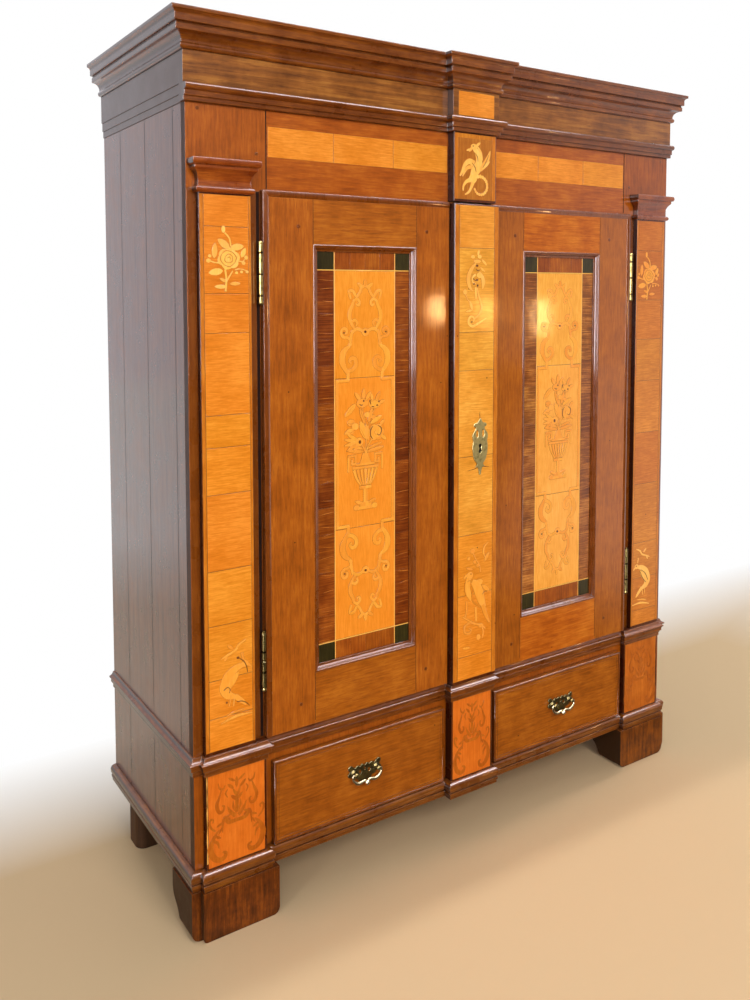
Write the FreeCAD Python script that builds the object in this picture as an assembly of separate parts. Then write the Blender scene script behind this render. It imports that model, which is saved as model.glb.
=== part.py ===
import FreeCAD, Part
import math
import os

# Baroque two-door cupboard with two drawers in its base, in millimetres.
# +Z is up and the front faces -Y. The origin lies on the floor, below the middle of the outer box.

# Case boards
case_width = 1540.0
case_depth = 538.0
side_board = 22.0
front_board = 22.0
back_board = 12.0
back_board_count = 5
floor_board = 22.0
top_board = 20.0
base_floor_board = 18.0
shelf_board = 18.0
shelf_housing = 8.0
shelf_setback = 40.0
shelf_count = 2

# Heights of the front, from the floor up
foot_height = 112.0
base_moulding_height = 42.0
drawer_zone_height = 213.0
waist_moulding_height = 43.0
door_zone_height = 1408.0
architrave_height = 37.0
cornice_frieze_height = 67.0
crown_height = 78.0

# How far each part stands forward of the front frame
base_projection = 14.0
waist_projection = 13.0
architrave_projection = 15.0
cornice_overhang = 6.0
crown_projection = 35.0
block_projection = 14.0
centre_block_projection = 23.0
cornice_break = 21.0

# Widths across the front
frame_stile = 189.0
block_inset = 22.0
block_width = 148.0
pilaster_width = 122.0
centre_block_width = 138.0
cornice_break_width = 150.0

# Capitals
capital_height = 72.0
capital_projection = 19.0
capital_drop = 116.0

# Feet
foot_face_width = 187.0
foot_depth = 112.0
foot_heel = 44.0
foot_corner = 16.0
foot_outer_corner = 21.0
foot_arris = 9.0
rear_foot_side = 80.0
rear_foot_inset = 90.0
rear_foot_corner = 24.0

# Doors
door_lift = 3.0
door_height = 1230.0
door_lap = 16.0
door_lip = 13.5
door_rebate = 10.0
hinge_stile = 127.0
meeting_stile = 101.0
top_rail = 115.0
bottom_rail = 121.0
panel_board = 8.0
panel_sink = 12.0
panel_tongue = 8.0
panel_moulding_width = 15.0
panel_moulding_rise = 2.0
bead_width = 14.0
bead_bed = 8.0
bead_rise = 2.0
tenon_length = 60.0
tenon_shoulder = 20.0

# Lock strip on the right door, its lock and the bolt on the left door
strip_width = 146.0
strip_thickness = 18.0
strip_corner = 4.0
strip_drop = 3.0
lock_height = 1023.0
keyhole_offset = 13.0
keyhole_radius = 4.0
keyhole_slot = 4.0
keyhole_drop = 13.0
escutcheon_width = 50.0
escutcheon_height = 146.0
escutcheon_thickness = 2.0
lock_width = 120.0
lock_case_height = 90.0
lock_depth = 18.0
lock_wall = 4.0
bolt_height = 24.0
bolt_length = 80.0
bolt_throw = 25.0
rod_side = 8.0
rod_length = 220.0
rod_inset = 26.0
rod_drop = 6.0
rod_throw = 28.0
rod_knob_radius = 5.0
rod_knob_reach = 9.0
rod_plate_width = 34.0
rod_plate_height = 170.0
rod_plate_thickness = 2.0
staple_wall = 3.0
staple_height = 16.0

# Hinges
barrel_radius = 5.0
barrel_length = 62.0
hinge_offset = 6.0
hinge_sink = 1.0
pin_radius = 2.5
pin_reach = 48.0
finial_radius = 5.6
finial_neck = 3.0
leaf_thickness = 2.0
leaf_bite = 22.0
leaf_margin = 4.0
leaf_sink = 3.0
upper_hinge_height = 1462.0
lower_hinge_height = 592.0

# Drawers
drawer_outer_reveal = 20.0
drawer_inner_reveal = 17.0
drawer_sill = 1.5
rail_show = 17.0
drawer_lap = 10.0
drawer_lip = 13.5
drawer_plug = 10.0
drawer_back_space = 86.5
drawer_side_board = 12.0
drawer_bottom_board = 8.0
drawer_bottom_rise = 6.0
drawer_side_drop = 14.0
drawer_groove = 5.0
lip_round = 5.0
lip_groove = 0.8
lip_band = 12.0
guide_width = 14.0
guide_height = 26.0

# Bail handles
handle_rise = 106.5
plate_width = 96.0
plate_height = 54.0
plate_thickness = 1.8
plate_lift_share = 0.34
post_spread = 68.0
post_radius = 4.5
post_reach = 17.0
post_head = 6.0
pivot_reach = 12.0
wire_radius = 2.4
pivot_radius = 2.0
acorn_radius = 4.6
acorn_length = 20.0
acorn_belly_share = 0.3

# Flat bands along the lower edge of the cornice sides
side_band_step = 2.0
lower_band_height = 16.0

# Clearances
lay_gap = 0.5
joinery_gap = 0.2
run_gap = 0.3
pivot_gap = 0.05
meeting_gap = 3.0
drawer_gap = 2.0
overrun = 5.0

# Moulding sections as shares of projection and height, from the lower back edge round to the upper
# back edge. Two shares end a straight step, four bend an arc through its middle to its end.
base_shares = [(0.72, 0.0), (0.72, 0.2), (0.9, 0.22), (0.9, 0.36), (0.66, 0.4), (0.66, 0.48), (1.0, 0.52),
               (1.0, 0.62), (0.85, 0.9, 0.3, 0.98), (0.0, 1.0)]
waist_shares = [(0.3, 0.0), (0.3, 0.1), (0.36, 0.26, 0.62, 0.34), (0.72, 0.36), (0.72, 0.6), (0.94, 0.63),
                (1.06, 0.68, 1.0, 0.74), (0.6, 0.8, 0.3, 0.97), (0.0, 1.0)]
architrave_shares = [(0.2, 0.0), (0.2, 0.24), (0.5, 0.27), (0.5, 0.56), (0.72, 0.6), (1.1, 0.8, 0.72, 0.97),
                     (0.0, 1.0)]
crown_shares = [(0.08, 0.0), (0.17, 0.02), (0.22, 0.08, 0.17, 0.15), (0.12, 0.17), (0.25, 0.35, 0.58, 0.42),
                (0.66, 0.43), (0.66, 0.57), (0.6, 0.59), (0.6, 0.62), (0.78, 0.64), (0.78, 0.78),
                (0.82, 0.86, 0.95, 0.9), (1.0, 0.91), (1.0, 1.0), (0.0, 1.0)]
capital_shares = [(0.1, 0.0), (0.42, 0.09, 0.1, 0.18), (0.08, 0.24), (0.18, 0.52, 0.6, 0.68), (0.66, 0.7),
                  (0.66, 0.78), (0.9, 0.8), (1.0, 0.9, 0.9, 0.98), (0.0, 1.0)]
foot_heel_shares = [(0.0, 0.66), (0.1, 0.52, 0.38, 0.4), (0.76, 0.24, 1.0, 0.0)]
panel_moulding_shares = [(0.0, 1.0), (0.16, 1.12, 0.32, 1.0), (0.36, 0.86), (0.52, 0.82), (0.62, 0.44, 1.0, 0.3),
                         (1.0, 0.0)]

# Levels and planes that follow from the sizes above
half = case_width / 2
crown_reach = cornice_overhang + crown_projection + cornice_break
outer_depth = case_depth + crown_reach
front = -outer_depth / 2 + crown_reach
back = outer_depth / 2
drawers_z = foot_height + base_moulding_height
waist_z = drawers_z + drawer_zone_height
doors_z = waist_z + waist_moulding_height
cornice_z = doors_z + door_zone_height
frieze_z = cornice_z + architrave_height
crown_z = frieze_z + cornice_frieze_height
top_z = crown_z + crown_height

block_left = -half + block_inset
block_right = block_left + block_width
pilaster_right = block_left + pilaster_width
opening_half = half - frame_stile
door_bottom = doors_z + door_lift
door_top = door_bottom + door_height
opening_bottom = door_bottom + door_lap
opening_top = door_top - door_lap
joint_z = opening_bottom - floor_board
door_back = front - lay_gap + door_rebate
face = front - lay_gap - door_lip
door_outer = -(opening_half + door_lap)
panel_left = door_outer + hinge_stile
panel_right = -strip_width / 2 - meeting_gap - meeting_stile
panel_width = panel_right - panel_left
panel_bottom = door_bottom + bottom_rail
panel_top = door_top - top_rail
field = face + panel_sink
hinge_x = door_outer - hinge_offset
hinge_y = face + hinge_sink

drawer_bottom = drawers_z + drawer_sill
drawer_top = waist_z - rail_show
drawer_left = block_right + drawer_outer_reveal
drawer_right = -centre_block_width / 2 - drawer_inner_reveal
bay_left = drawer_left + drawer_lap
bay_right = drawer_right - drawer_lap
bay_bottom = drawer_bottom + drawer_lap
bay_top = drawer_top - drawer_lap
drawer_face = front - lay_gap - drawer_lip
side_inside = half - side_board
capital_top = cornice_z - capital_drop
capital_bottom = capital_top - capital_height
inside_height = cornice_z - top_board - opening_bottom
rod_x = -strip_width / 2 - meeting_gap - rod_inset
rod_back = door_back + rod_plate_thickness + run_gap
rod_top = opening_top - rod_drop


def at(x, y, z):
    return FreeCAD.Vector(x, y, z)


def slab(x0, x1, y0, y1, z0, z1):
    """Board between two corners."""
    return Part.makeBox(x1 - x0, y1 - y0, z1 - z0, at(x0, y0, z0))


def mirrored(shape):
    """The same piece on the other half of the cupboard."""
    return shape.mirror(at(0, 0, 0), at(1, 0, 0))


def grown(shape, gap):
    """Box round a box-shaped piece, larger by the gap on every side."""
    box = shape.BoundBox
    return slab(box.XMin - gap, box.XMax + gap, box.YMin - gap, box.YMax + gap, box.ZMin - gap, box.ZMax + gap)


def outline(origin, along, up, width, height, shares):
    """Edges through points given as shares of a width and a height, with arcs through a middle point."""
    def spot(share_u, share_v):
        return origin + along * (share_u * width) + up * (share_v * height)

    edges = []
    here = spot(0, 0)
    for step in shares:
        there = spot(*step[-2:])
        if len(step) == 2:
            edges.append(Part.makeLine(here, there))
        else:
            edges.append(Part.Arc(here, spot(*step[:2]), there).toShape())
        here = there
    return edges, here


def section(origin, along, up, width, height, shares):
    """Closed wire of a moulding section."""
    edges, end = outline(origin, along, up, width, height, shares)
    edges.append(Part.makeLine(end, origin))
    return Part.Wire(edges)


def broken_front(z, breaks, overhang):
    """Level path along the front that steps forward at each break."""
    plane = front - overhang
    points = [at(-half - overhang, plane, z)]
    for x0, x1, forward in breaks:
        points += [at(x0, plane, z), at(x0, plane - forward, z), at(x1, plane - forward, z), at(x1, plane, z)]
    return points + [at(half + overhang, plane, z)]


def broken_path(z, breaks, overhang):
    """The same path with a return along both sides to the back."""
    reach = half + overhang
    return [at(-reach, back, z)] + broken_front(z, breaks, overhang) + [at(reach, back, z)]


def moulding(points, projection, height, shares):
    """Moulding with mitred corners along a level path, standing out to the right of its direction."""
    start = points[1] - points[0]
    start.normalize()
    wire = section(points[0], at(start.y, -start.x, 0), at(0, 0, 1), projection, height, shares)
    return Part.Wire(Part.makePolygon(points)).makePipeShell([wire], True, False, 1)


def prism(points, sweep):
    """Solid swept from a closed polygon."""
    return Part.Face(Part.makePolygon(points + points[:1])).extrude(sweep)


def rod(base, axis, radius, length):
    return Part.makeCylinder(radius, length, base, axis)


def round_bottomed(x0, x1, y0, y1, height, outer, inner):
    """Upright block whose lower left and lower right corners have an outer and an inner radius."""
    bend = 1 - math.sqrt(1 / 2)
    edges = [Part.makeLine(at(x0, y0, height), at(x0, y0, outer)),
             Part.Arc(at(x0, y0, outer), at(x0 + outer * bend, y0, outer * bend), at(x0 + outer, y0, 0)).toShape(),
             Part.makeLine(at(x0 + outer, y0, 0), at(x1 - inner, y0, 0)),
             Part.Arc(at(x1 - inner, y0, 0), at(x1 - inner * bend, y0, inner * bend), at(x1, y0, inner)).toShape(),
             Part.makeLine(at(x1, y0, inner), at(x1, y0, height)),
             Part.makeLine(at(x1, y0, height), at(x0, y0, height))]
    return Part.Face(Part.Wire(edges)).extrude(at(0, y1 - y0, 0))


def save(name, *solids):
    """One file per piece, or per group of like pieces."""
    shape = solids[0] if len(solids) == 1 else Part.makeCompound(list(solids))
    shape.exportStep(os.path.join("parts", name + ".step"))
    box = shape.BoundBox
    print(name, len(solids), [round(v, 1) for v in (box.XMin, box.YMin, box.ZMin, box.XMax, box.YMax, box.ZMax)])


os.makedirs("parts", exist_ok=True)

# Feet
foot_front = front - base_projection
foot_left = -half - base_projection
foot_face_left = block_left - base_projection
foot_right = foot_face_left + foot_face_width
foot_back = foot_front + foot_depth
heel_edges, heel_end = outline(at(foot_left, foot_back, 0), at(0, -1, 0), at(0, 0, 1), foot_heel, foot_height,
                               foot_heel_shares)
heel_edges.append(Part.makeLine(heel_end, at(foot_left, foot_back, 0)))
heel = Part.Face(Part.Wire(heel_edges)).extrude(at(foot_right - foot_left, 0, 0))


def front_foot(facing_corner):
    """Left front foot: a block under the case corner with a facing under the block above it."""
    plinth = round_bottomed(foot_left, foot_right, foot_front, foot_back, foot_height, foot_outer_corner, foot_corner)
    facing = round_bottomed(foot_face_left, foot_right, foot_front - block_projection, foot_front, foot_height,
                            facing_corner, foot_corner)
    return plinth.fuse(facing).removeSplitter().cut(heel)


save("front_foot_left", front_foot(foot_arris))
save("front_foot_right", mirrored(front_foot(foot_outer_corner)))

base_floor_bottom = bay_bottom - base_floor_board
rear_front = back - rear_foot_inset - rear_foot_side
rear_post = slab(-half, -half + rear_foot_side, rear_front, rear_front + rear_foot_side, 0, foot_height)
upright_edges = [e for e in rear_post.Edges if e.Vertexes[0].Z != e.Vertexes[-1].Z]
rear_post = rear_post.makeFillet(rear_foot_corner, upright_edges)
rear_neck = slab(-side_inside, -half + rear_foot_side - rear_foot_corner, rear_front + rear_foot_corner,
                 rear_front + rear_foot_side - rear_foot_corner, foot_height, base_floor_bottom)
rear_foot = rear_post.fuse(rear_neck)
save("rear_feet", rear_foot, mirrored(rear_foot))

# Base case
base_side = slab(-half, -side_inside, front + front_board, back, foot_height, joint_z)
save("base_side_left", base_side)
save("base_side_right", mirrored(base_side))
save("base_back", slab(-side_inside, side_inside, back - back_board, back, foot_height, joint_z))
save("base_floor", slab(-side_inside, side_inside, front + front_board, back - back_board,
                        base_floor_bottom, bay_bottom))
upright = slab(-half, bay_left, front, front + front_board, foot_height, joint_z)
middle_upright = slab(bay_right, -bay_right, front, front + front_board, bay_bottom, bay_top)
lower_rail = slab(bay_left, -bay_left, front, front + front_board, foot_height, bay_bottom)
upper_rail = slab(bay_left, -bay_left, front, front + front_board, bay_top, joint_z)
save("base_front_frame", upright, mirrored(upright), middle_upright, lower_rail, upper_rail)

side_block = slab(block_left, block_right, front - block_projection, front, foot_height, doors_z)
centre_half = centre_block_width / 2
save("base_side_blocks", side_block, mirrored(side_block))
save("base_centre_block", slab(-centre_half, centre_half, front - centre_block_projection, front,
                               foot_height, doors_z))
case_breaks = [(block_left, block_right, block_projection), (-centre_half, centre_half, centre_block_projection),
               (-block_right, -block_left, block_projection)]
save("base_moulding", moulding(broken_path(foot_height, case_breaks, 0), base_projection, base_moulding_height,
                               base_shares))
save("waist_moulding", moulding(broken_path(waist_z, case_breaks, 0), waist_projection, waist_moulding_height,
                                waist_shares))
guide_back = back - back_board
outer_guide = slab(bay_left - guide_width, bay_left, front + front_board, guide_back, bay_bottom,
                   bay_bottom + guide_height)
inner_guide = slab(bay_right, bay_right + guide_width, front + front_board, guide_back, bay_bottom,
                   bay_bottom + guide_height)
save("drawer_guides", outer_guide, inner_guide, mirrored(inner_guide), mirrored(outer_guide))

# Upper case
shelf_step = inside_height / (shelf_count + 1)
shelves = []
for index in range(shelf_count):
    shelf_z = opening_bottom + shelf_step * (index + 1) - shelf_board / 2
    shelf_end = side_inside + shelf_housing - joinery_gap
    shelves.append(slab(-shelf_end, shelf_end, front + front_board + shelf_setback, back - back_board,
                        shelf_z, shelf_z + shelf_board))
upper_side = slab(-half, -side_inside, front + front_board, back, joint_z, cornice_z)
for shelf in shelves:
    upper_side = upper_side.cut(grown(shelf, joinery_gap))
save("shelves", *shelves)
save("upper_side_left", upper_side)
save("upper_side_right", mirrored(upper_side))
plank = side_inside * 2 / back_board_count
planks = [slab(-side_inside + plank * index, -side_inside + plank * (index + 1) - joinery_gap, back - back_board,
               back, joint_z, cornice_z) for index in range(back_board_count)]
save("back_boards", *planks)
save("case_floor", slab(-side_inside, side_inside, front + front_board, back - back_board, joint_z,
                        opening_bottom))
save("case_top", slab(-side_inside, side_inside, front + front_board, back - back_board,
                      cornice_z - top_board, cornice_z))

# Hinges: the frame half carries the pin, the door half turns on it
def hinge(centre):
    low = centre - barrel_length
    high = centre + barrel_length
    up = at(0, 0, 1)
    frame_half = rod(at(hinge_x, hinge_y, low), up, barrel_radius, barrel_length - run_gap / 2)
    frame_half = frame_half.fuse(rod(at(hinge_x, hinge_y, low), up, pin_radius, barrel_length + pin_reach))
    frame_half = frame_half.fuse(rod(at(hinge_x, hinge_y, low), -up, barrel_radius / 2, finial_neck))
    frame_half = frame_half.fuse(Part.makeSphere(finial_radius, at(hinge_x, hinge_y, low - finial_neck)))
    frame_leaf = slab(hinge_x - leaf_thickness / 2, hinge_x + leaf_thickness / 2, hinge_y, front + leaf_bite,
                      low + leaf_margin, centre - leaf_margin)
    door_half = rod(at(hinge_x, hinge_y, centre + run_gap / 2), up, barrel_radius, barrel_length - run_gap / 2)
    door_half = door_half.fuse(rod(at(hinge_x, hinge_y, high), up, barrel_radius / 2, finial_neck))
    door_half = door_half.fuse(Part.makeSphere(finial_radius, at(hinge_x, hinge_y, high + finial_neck)))
    leaf_y = hinge_y + leaf_sink
    door_leaf = slab(hinge_x, door_outer + leaf_bite, leaf_y - leaf_thickness / 2, leaf_y + leaf_thickness / 2,
                     centre + leaf_margin, high - leaf_margin)
    bore = rod(at(hinge_x, hinge_y, centre), up, pin_radius + pivot_gap, pin_reach + run_gap)
    return frame_half.fuse(frame_leaf), door_half.fuse(door_leaf).cut(bore), frame_leaf, door_leaf


hinges = [hinge(upper_hinge_height), hinge(lower_hinge_height)]
frame_halves = [parts[0] for parts in hinges]
door_halves = [parts[1] for parts in hinges]
save("left_hinge_frame_halves", *frame_halves)
save("left_hinge_door_halves", *door_halves)
save("right_hinge_frame_halves", *[mirrored(part) for part in frame_halves])
save("right_hinge_door_halves", *[mirrored(part) for part in door_halves])

# Front frame and pilasters
front_stile = slab(-half, -opening_half, front, front + front_board, joint_z, cornice_z)
for parts in hinges:
    front_stile = front_stile.cut(grown(parts[2], joinery_gap))
save("front_stile_left", front_stile)
save("front_stile_right", mirrored(front_stile))
rod_half = rod_side / 2
bolt_hole = slab(rod_x - rod_half, rod_x + rod_half, rod_back, rod_back + rod_side, opening_top,
                 rod_top + rod_throw)
frieze_rail = slab(-opening_half, opening_half, front, front + front_board, opening_top, cornice_z)
frieze_rail = frieze_rail.cut(grown(bolt_hole, lay_gap))
sill_rail = slab(-opening_half, opening_half, front, front + front_board, joint_z, opening_bottom)
save("case_front_rails", frieze_rail, sill_rail)
pilaster = slab(block_left, pilaster_right, front - block_projection, front, doors_z, capital_top)
save("pilaster_left", pilaster)
save("pilaster_right", mirrored(pilaster))
capital_path = [at(block_left, front, capital_bottom), at(block_left, front - block_projection, capital_bottom),
                at(pilaster_right, front - block_projection, capital_bottom),
                at(pilaster_right, front, capital_bottom)]
capital = moulding(capital_path, capital_projection, capital_height, capital_shares)
save("capitals", capital, mirrored(capital))
save("centre_frieze_block", slab(-centre_half, centre_half, front - centre_block_projection, front,
                                 door_top + meeting_gap, cornice_z))

# Cornice, an open box that stands on the case
lid_z = top_z - front_board
break_half = cornice_break_width / 2
cornice_half = half + cornice_overhang
cornice_inside = cornice_half - side_board
cornice_front = front - cornice_overhang
board_front = slab(-cornice_half, cornice_half, cornice_front, cornice_front + front_board, cornice_z, lid_z)
board_side = slab(-cornice_half, -cornice_inside, cornice_front + front_board, back, cornice_z, lid_z)
for step, height in ((side_band_step, architrave_height), (side_band_step * 2, lower_band_height)):
    board_side = board_side.cut(slab(-cornice_half - overrun, -cornice_half + step, cornice_front, back + overrun,
                                     cornice_z - overrun, cornice_z + height))
board_break = slab(-break_half, break_half, cornice_front - cornice_break, cornice_front, cornice_z, lid_z)
board_back = slab(-cornice_inside, cornice_inside, back - back_board, back, cornice_z, lid_z)
save("cornice_frieze_boards", board_front, board_side, mirrored(board_side), board_back, board_break)
centre_break = [(-break_half, break_half, cornice_break)]
save("architrave_moulding", moulding(broken_front(cornice_z, centre_break, cornice_overhang), architrave_projection,
                                     architrave_height, architrave_shares))
save("crown_moulding", moulding(broken_path(crown_z, centre_break, cornice_overhang), crown_projection,
                                crown_height, crown_shares))


# Doors, drawn as a left door that reaches to a given meeting edge
def bead_strips(meeting):
    """Half-round edging on the outer and upper edges of a door, mitred at its corner."""
    crest = face - bead_rise
    inner = door_outer + bead_width
    low = door_top - bead_width
    shares = [(1, 0), (1, 1), (1 / 2, 1 + bead_rise / bead_bed, 0, 1)]
    upright_wire = section(at(door_outer, face + bead_bed, door_bottom), at(1, 0, 0), at(0, -1, 0), bead_width,
                           bead_bed, shares)
    upright_run = Part.Face(upright_wire).extrude(at(0, 0, door_height))
    upright_cut = prism([at(door_outer, crest, door_bottom), at(inner, crest, door_bottom), at(inner, crest, low),
                         at(door_outer, crest, door_top)], at(0, bead_bed + bead_rise, 0))
    top_wire = section(at(door_outer, face + bead_bed, low), at(0, 0, 1), at(0, -1, 0), bead_width, bead_bed,
                       shares)
    top_run = Part.Face(top_wire).extrude(at(meeting - door_outer, 0, 0))
    top_cut = prism([at(door_outer, crest, door_top), at(inner, crest, low), at(meeting, crest, low),
                     at(meeting, crest, door_top)], at(0, bead_bed + bead_rise, 0))
    strips = [upright_run.common(upright_cut), top_run.common(top_cut)]
    for parts in hinges:
        strips[0] = strips[0].cut(grown(parts[3], joinery_gap))
    return strips


def panel_strips():
    """Four mitred strips that frame the door panel."""
    depth = panel_sink
    width = panel_moulding_width
    crest = face - panel_moulding_rise - depth
    sides = [(at(panel_left, field, panel_bottom), at(1, 0, 0), at(0, 0, panel_top - panel_bottom)),
             (at(panel_right, field, panel_bottom), at(-1, 0, 0), at(0, 0, panel_top - panel_bottom)),
             (at(panel_left, field, panel_bottom), at(0, 0, 1), at(panel_width, 0, 0)),
             (at(panel_left, field, panel_top), at(0, 0, -1), at(panel_width, 0, 0))]
    strips = []
    for corner, inward, run in sides:
        wire = section(corner, inward, at(0, -1, 0), width, depth, panel_moulding_shares)
        bar = Part.Face(wire).extrude(run)
        step = FreeCAD.Vector(run)
        step.normalize()
        start = at(corner.x, crest, corner.z)
        mitre = prism([start, start + run, start + run - step * width + inward * width,
                       start + step * width + inward * width], at(0, field - crest, 0))
        strips.append(bar.common(mitre))
    return strips


def door(meeting, bead_end):
    """Stiles, rails, panel, panel moulding and edging of a left door, the edging stopped at a given place."""
    thick = door_back
    stiles = [slab(door_outer, panel_left, face, thick, door_bottom, door_top),
              slab(panel_right, meeting, face, thick, door_bottom, door_top)]
    rails = [slab(panel_left, panel_right, face, thick, panel_top, door_top),
             slab(panel_left, panel_right, face, thick, door_bottom, panel_bottom)]
    panel = slab(panel_left - panel_tongue, panel_right + panel_tongue, field, field + panel_board,
                 panel_bottom - panel_tongue, panel_top + panel_tongue)
    tongues = [slab(panel_left - tenon_length, panel_right + tenon_length, field, field + panel_board,
                    panel_top + panel_tongue + tenon_shoulder, door_top - tenon_shoulder),
               slab(panel_left - tenon_length, panel_right + tenon_length, field, field + panel_board,
                    door_bottom + tenon_shoulder, panel_bottom - panel_tongue - tenon_shoulder)]
    inner_edge = door_lap + lay_gap + lay_gap
    rebate = slab(door_outer - overrun, meeting + overrun, front - lay_gap, thick + overrun,
                  door_bottom - overrun, door_top + overrun)
    rebate = rebate.cut(slab(door_outer + inner_edge, meeting + overrun, front - overrun, thick + overrun,
                             door_bottom + inner_edge, door_top - inner_edge))
    bead_seat = slab(door_outer - overrun, bead_end, face - overrun, face + bead_bed,
                     door_bottom - overrun, door_top + overrun)
    bead_seat = bead_seat.cut(slab(door_outer + bead_width, meeting + overrun, face - overrun, face + bead_bed,
                                   door_bottom - overrun, door_top - bead_width))
    groove = grown(panel, joinery_gap)
    stiles = [piece.cut(rebate).cut(bead_seat).cut(groove) for piece in stiles]
    rails = [piece.cut(rebate).cut(bead_seat).cut(groove) for piece in rails]
    for tongue in tongues:
        stiles = [piece.cut(grown(tongue, joinery_gap)) for piece in stiles]
    for parts in hinges:
        stiles[0] = stiles[0].cut(grown(parts[3], joinery_gap))
    rails = [rail.fuse(tongue).removeSplitter() for rail, tongue in zip(rails, tongues)]
    return stiles, rails, panel, panel_strips(), bead_strips(min(meeting, bead_end))


left_edge = -strip_width / 2 - meeting_gap
left_stiles, left_rails, left_panel, left_strips, left_bead = door(left_edge, left_edge + overrun)
save("left_door_stiles", *left_stiles)
save("left_door_rails", *left_rails)
save("left_door_panel", left_panel)
save("left_door_panel_moulding", *left_strips)
save("left_door_edge_bead", *left_bead)

# Keyhole through the strip, the stile behind it and the escutcheon
strip_face = face - strip_thickness
plate_face = strip_face - escutcheon_thickness
lock_back = door_back + lock_depth
keyhole = rod(at(keyhole_offset, plate_face, lock_height), at(0, 1, 0), keyhole_radius, door_back - plate_face)
keyhole = keyhole.fuse(slab(keyhole_offset - keyhole_slot / 2, keyhole_offset + keyhole_slot / 2, plate_face,
                            door_back, lock_height - keyhole_drop, lock_height))
stiles, rails, panel, strips, bead = door(strip_width / 2, -strip_width / 2)
right_stiles = [mirrored(piece) for piece in stiles]
right_stiles[1] = right_stiles[1].cut(keyhole)
save("right_door_stiles", *right_stiles)
save("right_door_rails", *[mirrored(piece) for piece in rails])
save("right_door_panel", mirrored(panel))
save("right_door_panel_moulding", *[mirrored(piece) for piece in strips])
save("right_door_edge_bead", *[mirrored(piece) for piece in bead])

strip_top = door_top - strip_drop
lock_strip = slab(-strip_width / 2, strip_width / 2, strip_face, face, door_bottom, strip_top)
arrises = [e for e in lock_strip.Edges if e.BoundBox.YLength < e.Length / 2 and e.BoundBox.YMax < face - overrun
           and e.BoundBox.ZLength > e.Length / 2]
lock_strip = lock_strip.makeFillet(strip_corner, arrises).cut(keyhole)
save("lock_strip", lock_strip)
half_tall = escutcheon_height / 2
half_wide = escutcheon_width / 2
plate_edges = [Part.Arc(at(keyhole_offset, strip_face, lock_height - half_tall),
                        at(keyhole_offset - half_wide, strip_face, lock_height),
                        at(keyhole_offset, strip_face, lock_height + half_tall)).toShape(),
               Part.Arc(at(keyhole_offset, strip_face, lock_height + half_tall),
                        at(keyhole_offset + half_wide, strip_face, lock_height),
                        at(keyhole_offset, strip_face, lock_height - half_tall)).toShape()]
escutcheon = Part.Face(Part.Wire(plate_edges)).extrude(at(0, -escutcheon_thickness, 0)).cut(keyhole)
save("escutcheon", escutcheon)

# Lock on the inside of the right door; its bolt shoots behind the left door
lock_left = keyhole_offset - lock_width / 2
bolt_front = door_back + lock_wall
bolt = slab(lock_left, lock_left + bolt_length, bolt_front, lock_back - lock_wall,
            lock_height - bolt_height / 2, lock_height + bolt_height / 2)
lock_case = slab(lock_left, lock_left + lock_width, door_back, lock_back, lock_height - lock_case_height / 2,
                 lock_height + lock_case_height / 2)
save("lock_case", lock_case.cut(grown(bolt, run_gap)))
save("lock_bolt", bolt)

# Upright bolt on the inside of the left door; it shoots into the rail above
rod_bottom = rod_top - rod_length
left_bolt = slab(rod_x - rod_half, rod_x + rod_half, rod_back, rod_back + rod_side, rod_bottom, rod_top)
left_bolt = left_bolt.fuse(rod(at(rod_x, rod_back + rod_half, rod_bottom + rod_knob_radius), at(0, 1, 0),
                               rod_knob_radius, rod_half + rod_knob_reach))
save("left_door_bolt", left_bolt)
bed_top = rod_top - rod_drop
bed_bottom = bed_top - rod_plate_height
bed = slab(rod_x - rod_plate_width / 2, rod_x + rod_plate_width / 2, door_back, door_back + rod_plate_thickness,
           bed_bottom, bed_top)
reach = rod_half + run_gap + staple_wall
for low in (bed_bottom, bed_top - staple_height):
    staple = slab(rod_x - reach, rod_x + reach, door_back, rod_back + rod_side + run_gap + staple_wall, low,
                  low + staple_height)
    bed = bed.fuse(staple)
passage = slab(rod_x - rod_half - run_gap, rod_x + rod_half + run_gap, door_back + rod_plate_thickness,
               rod_back + rod_side + run_gap, bed_bottom - overrun, bed_top + overrun)
save("left_door_bolt_plate", bed.cut(passage).removeSplitter())


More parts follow.
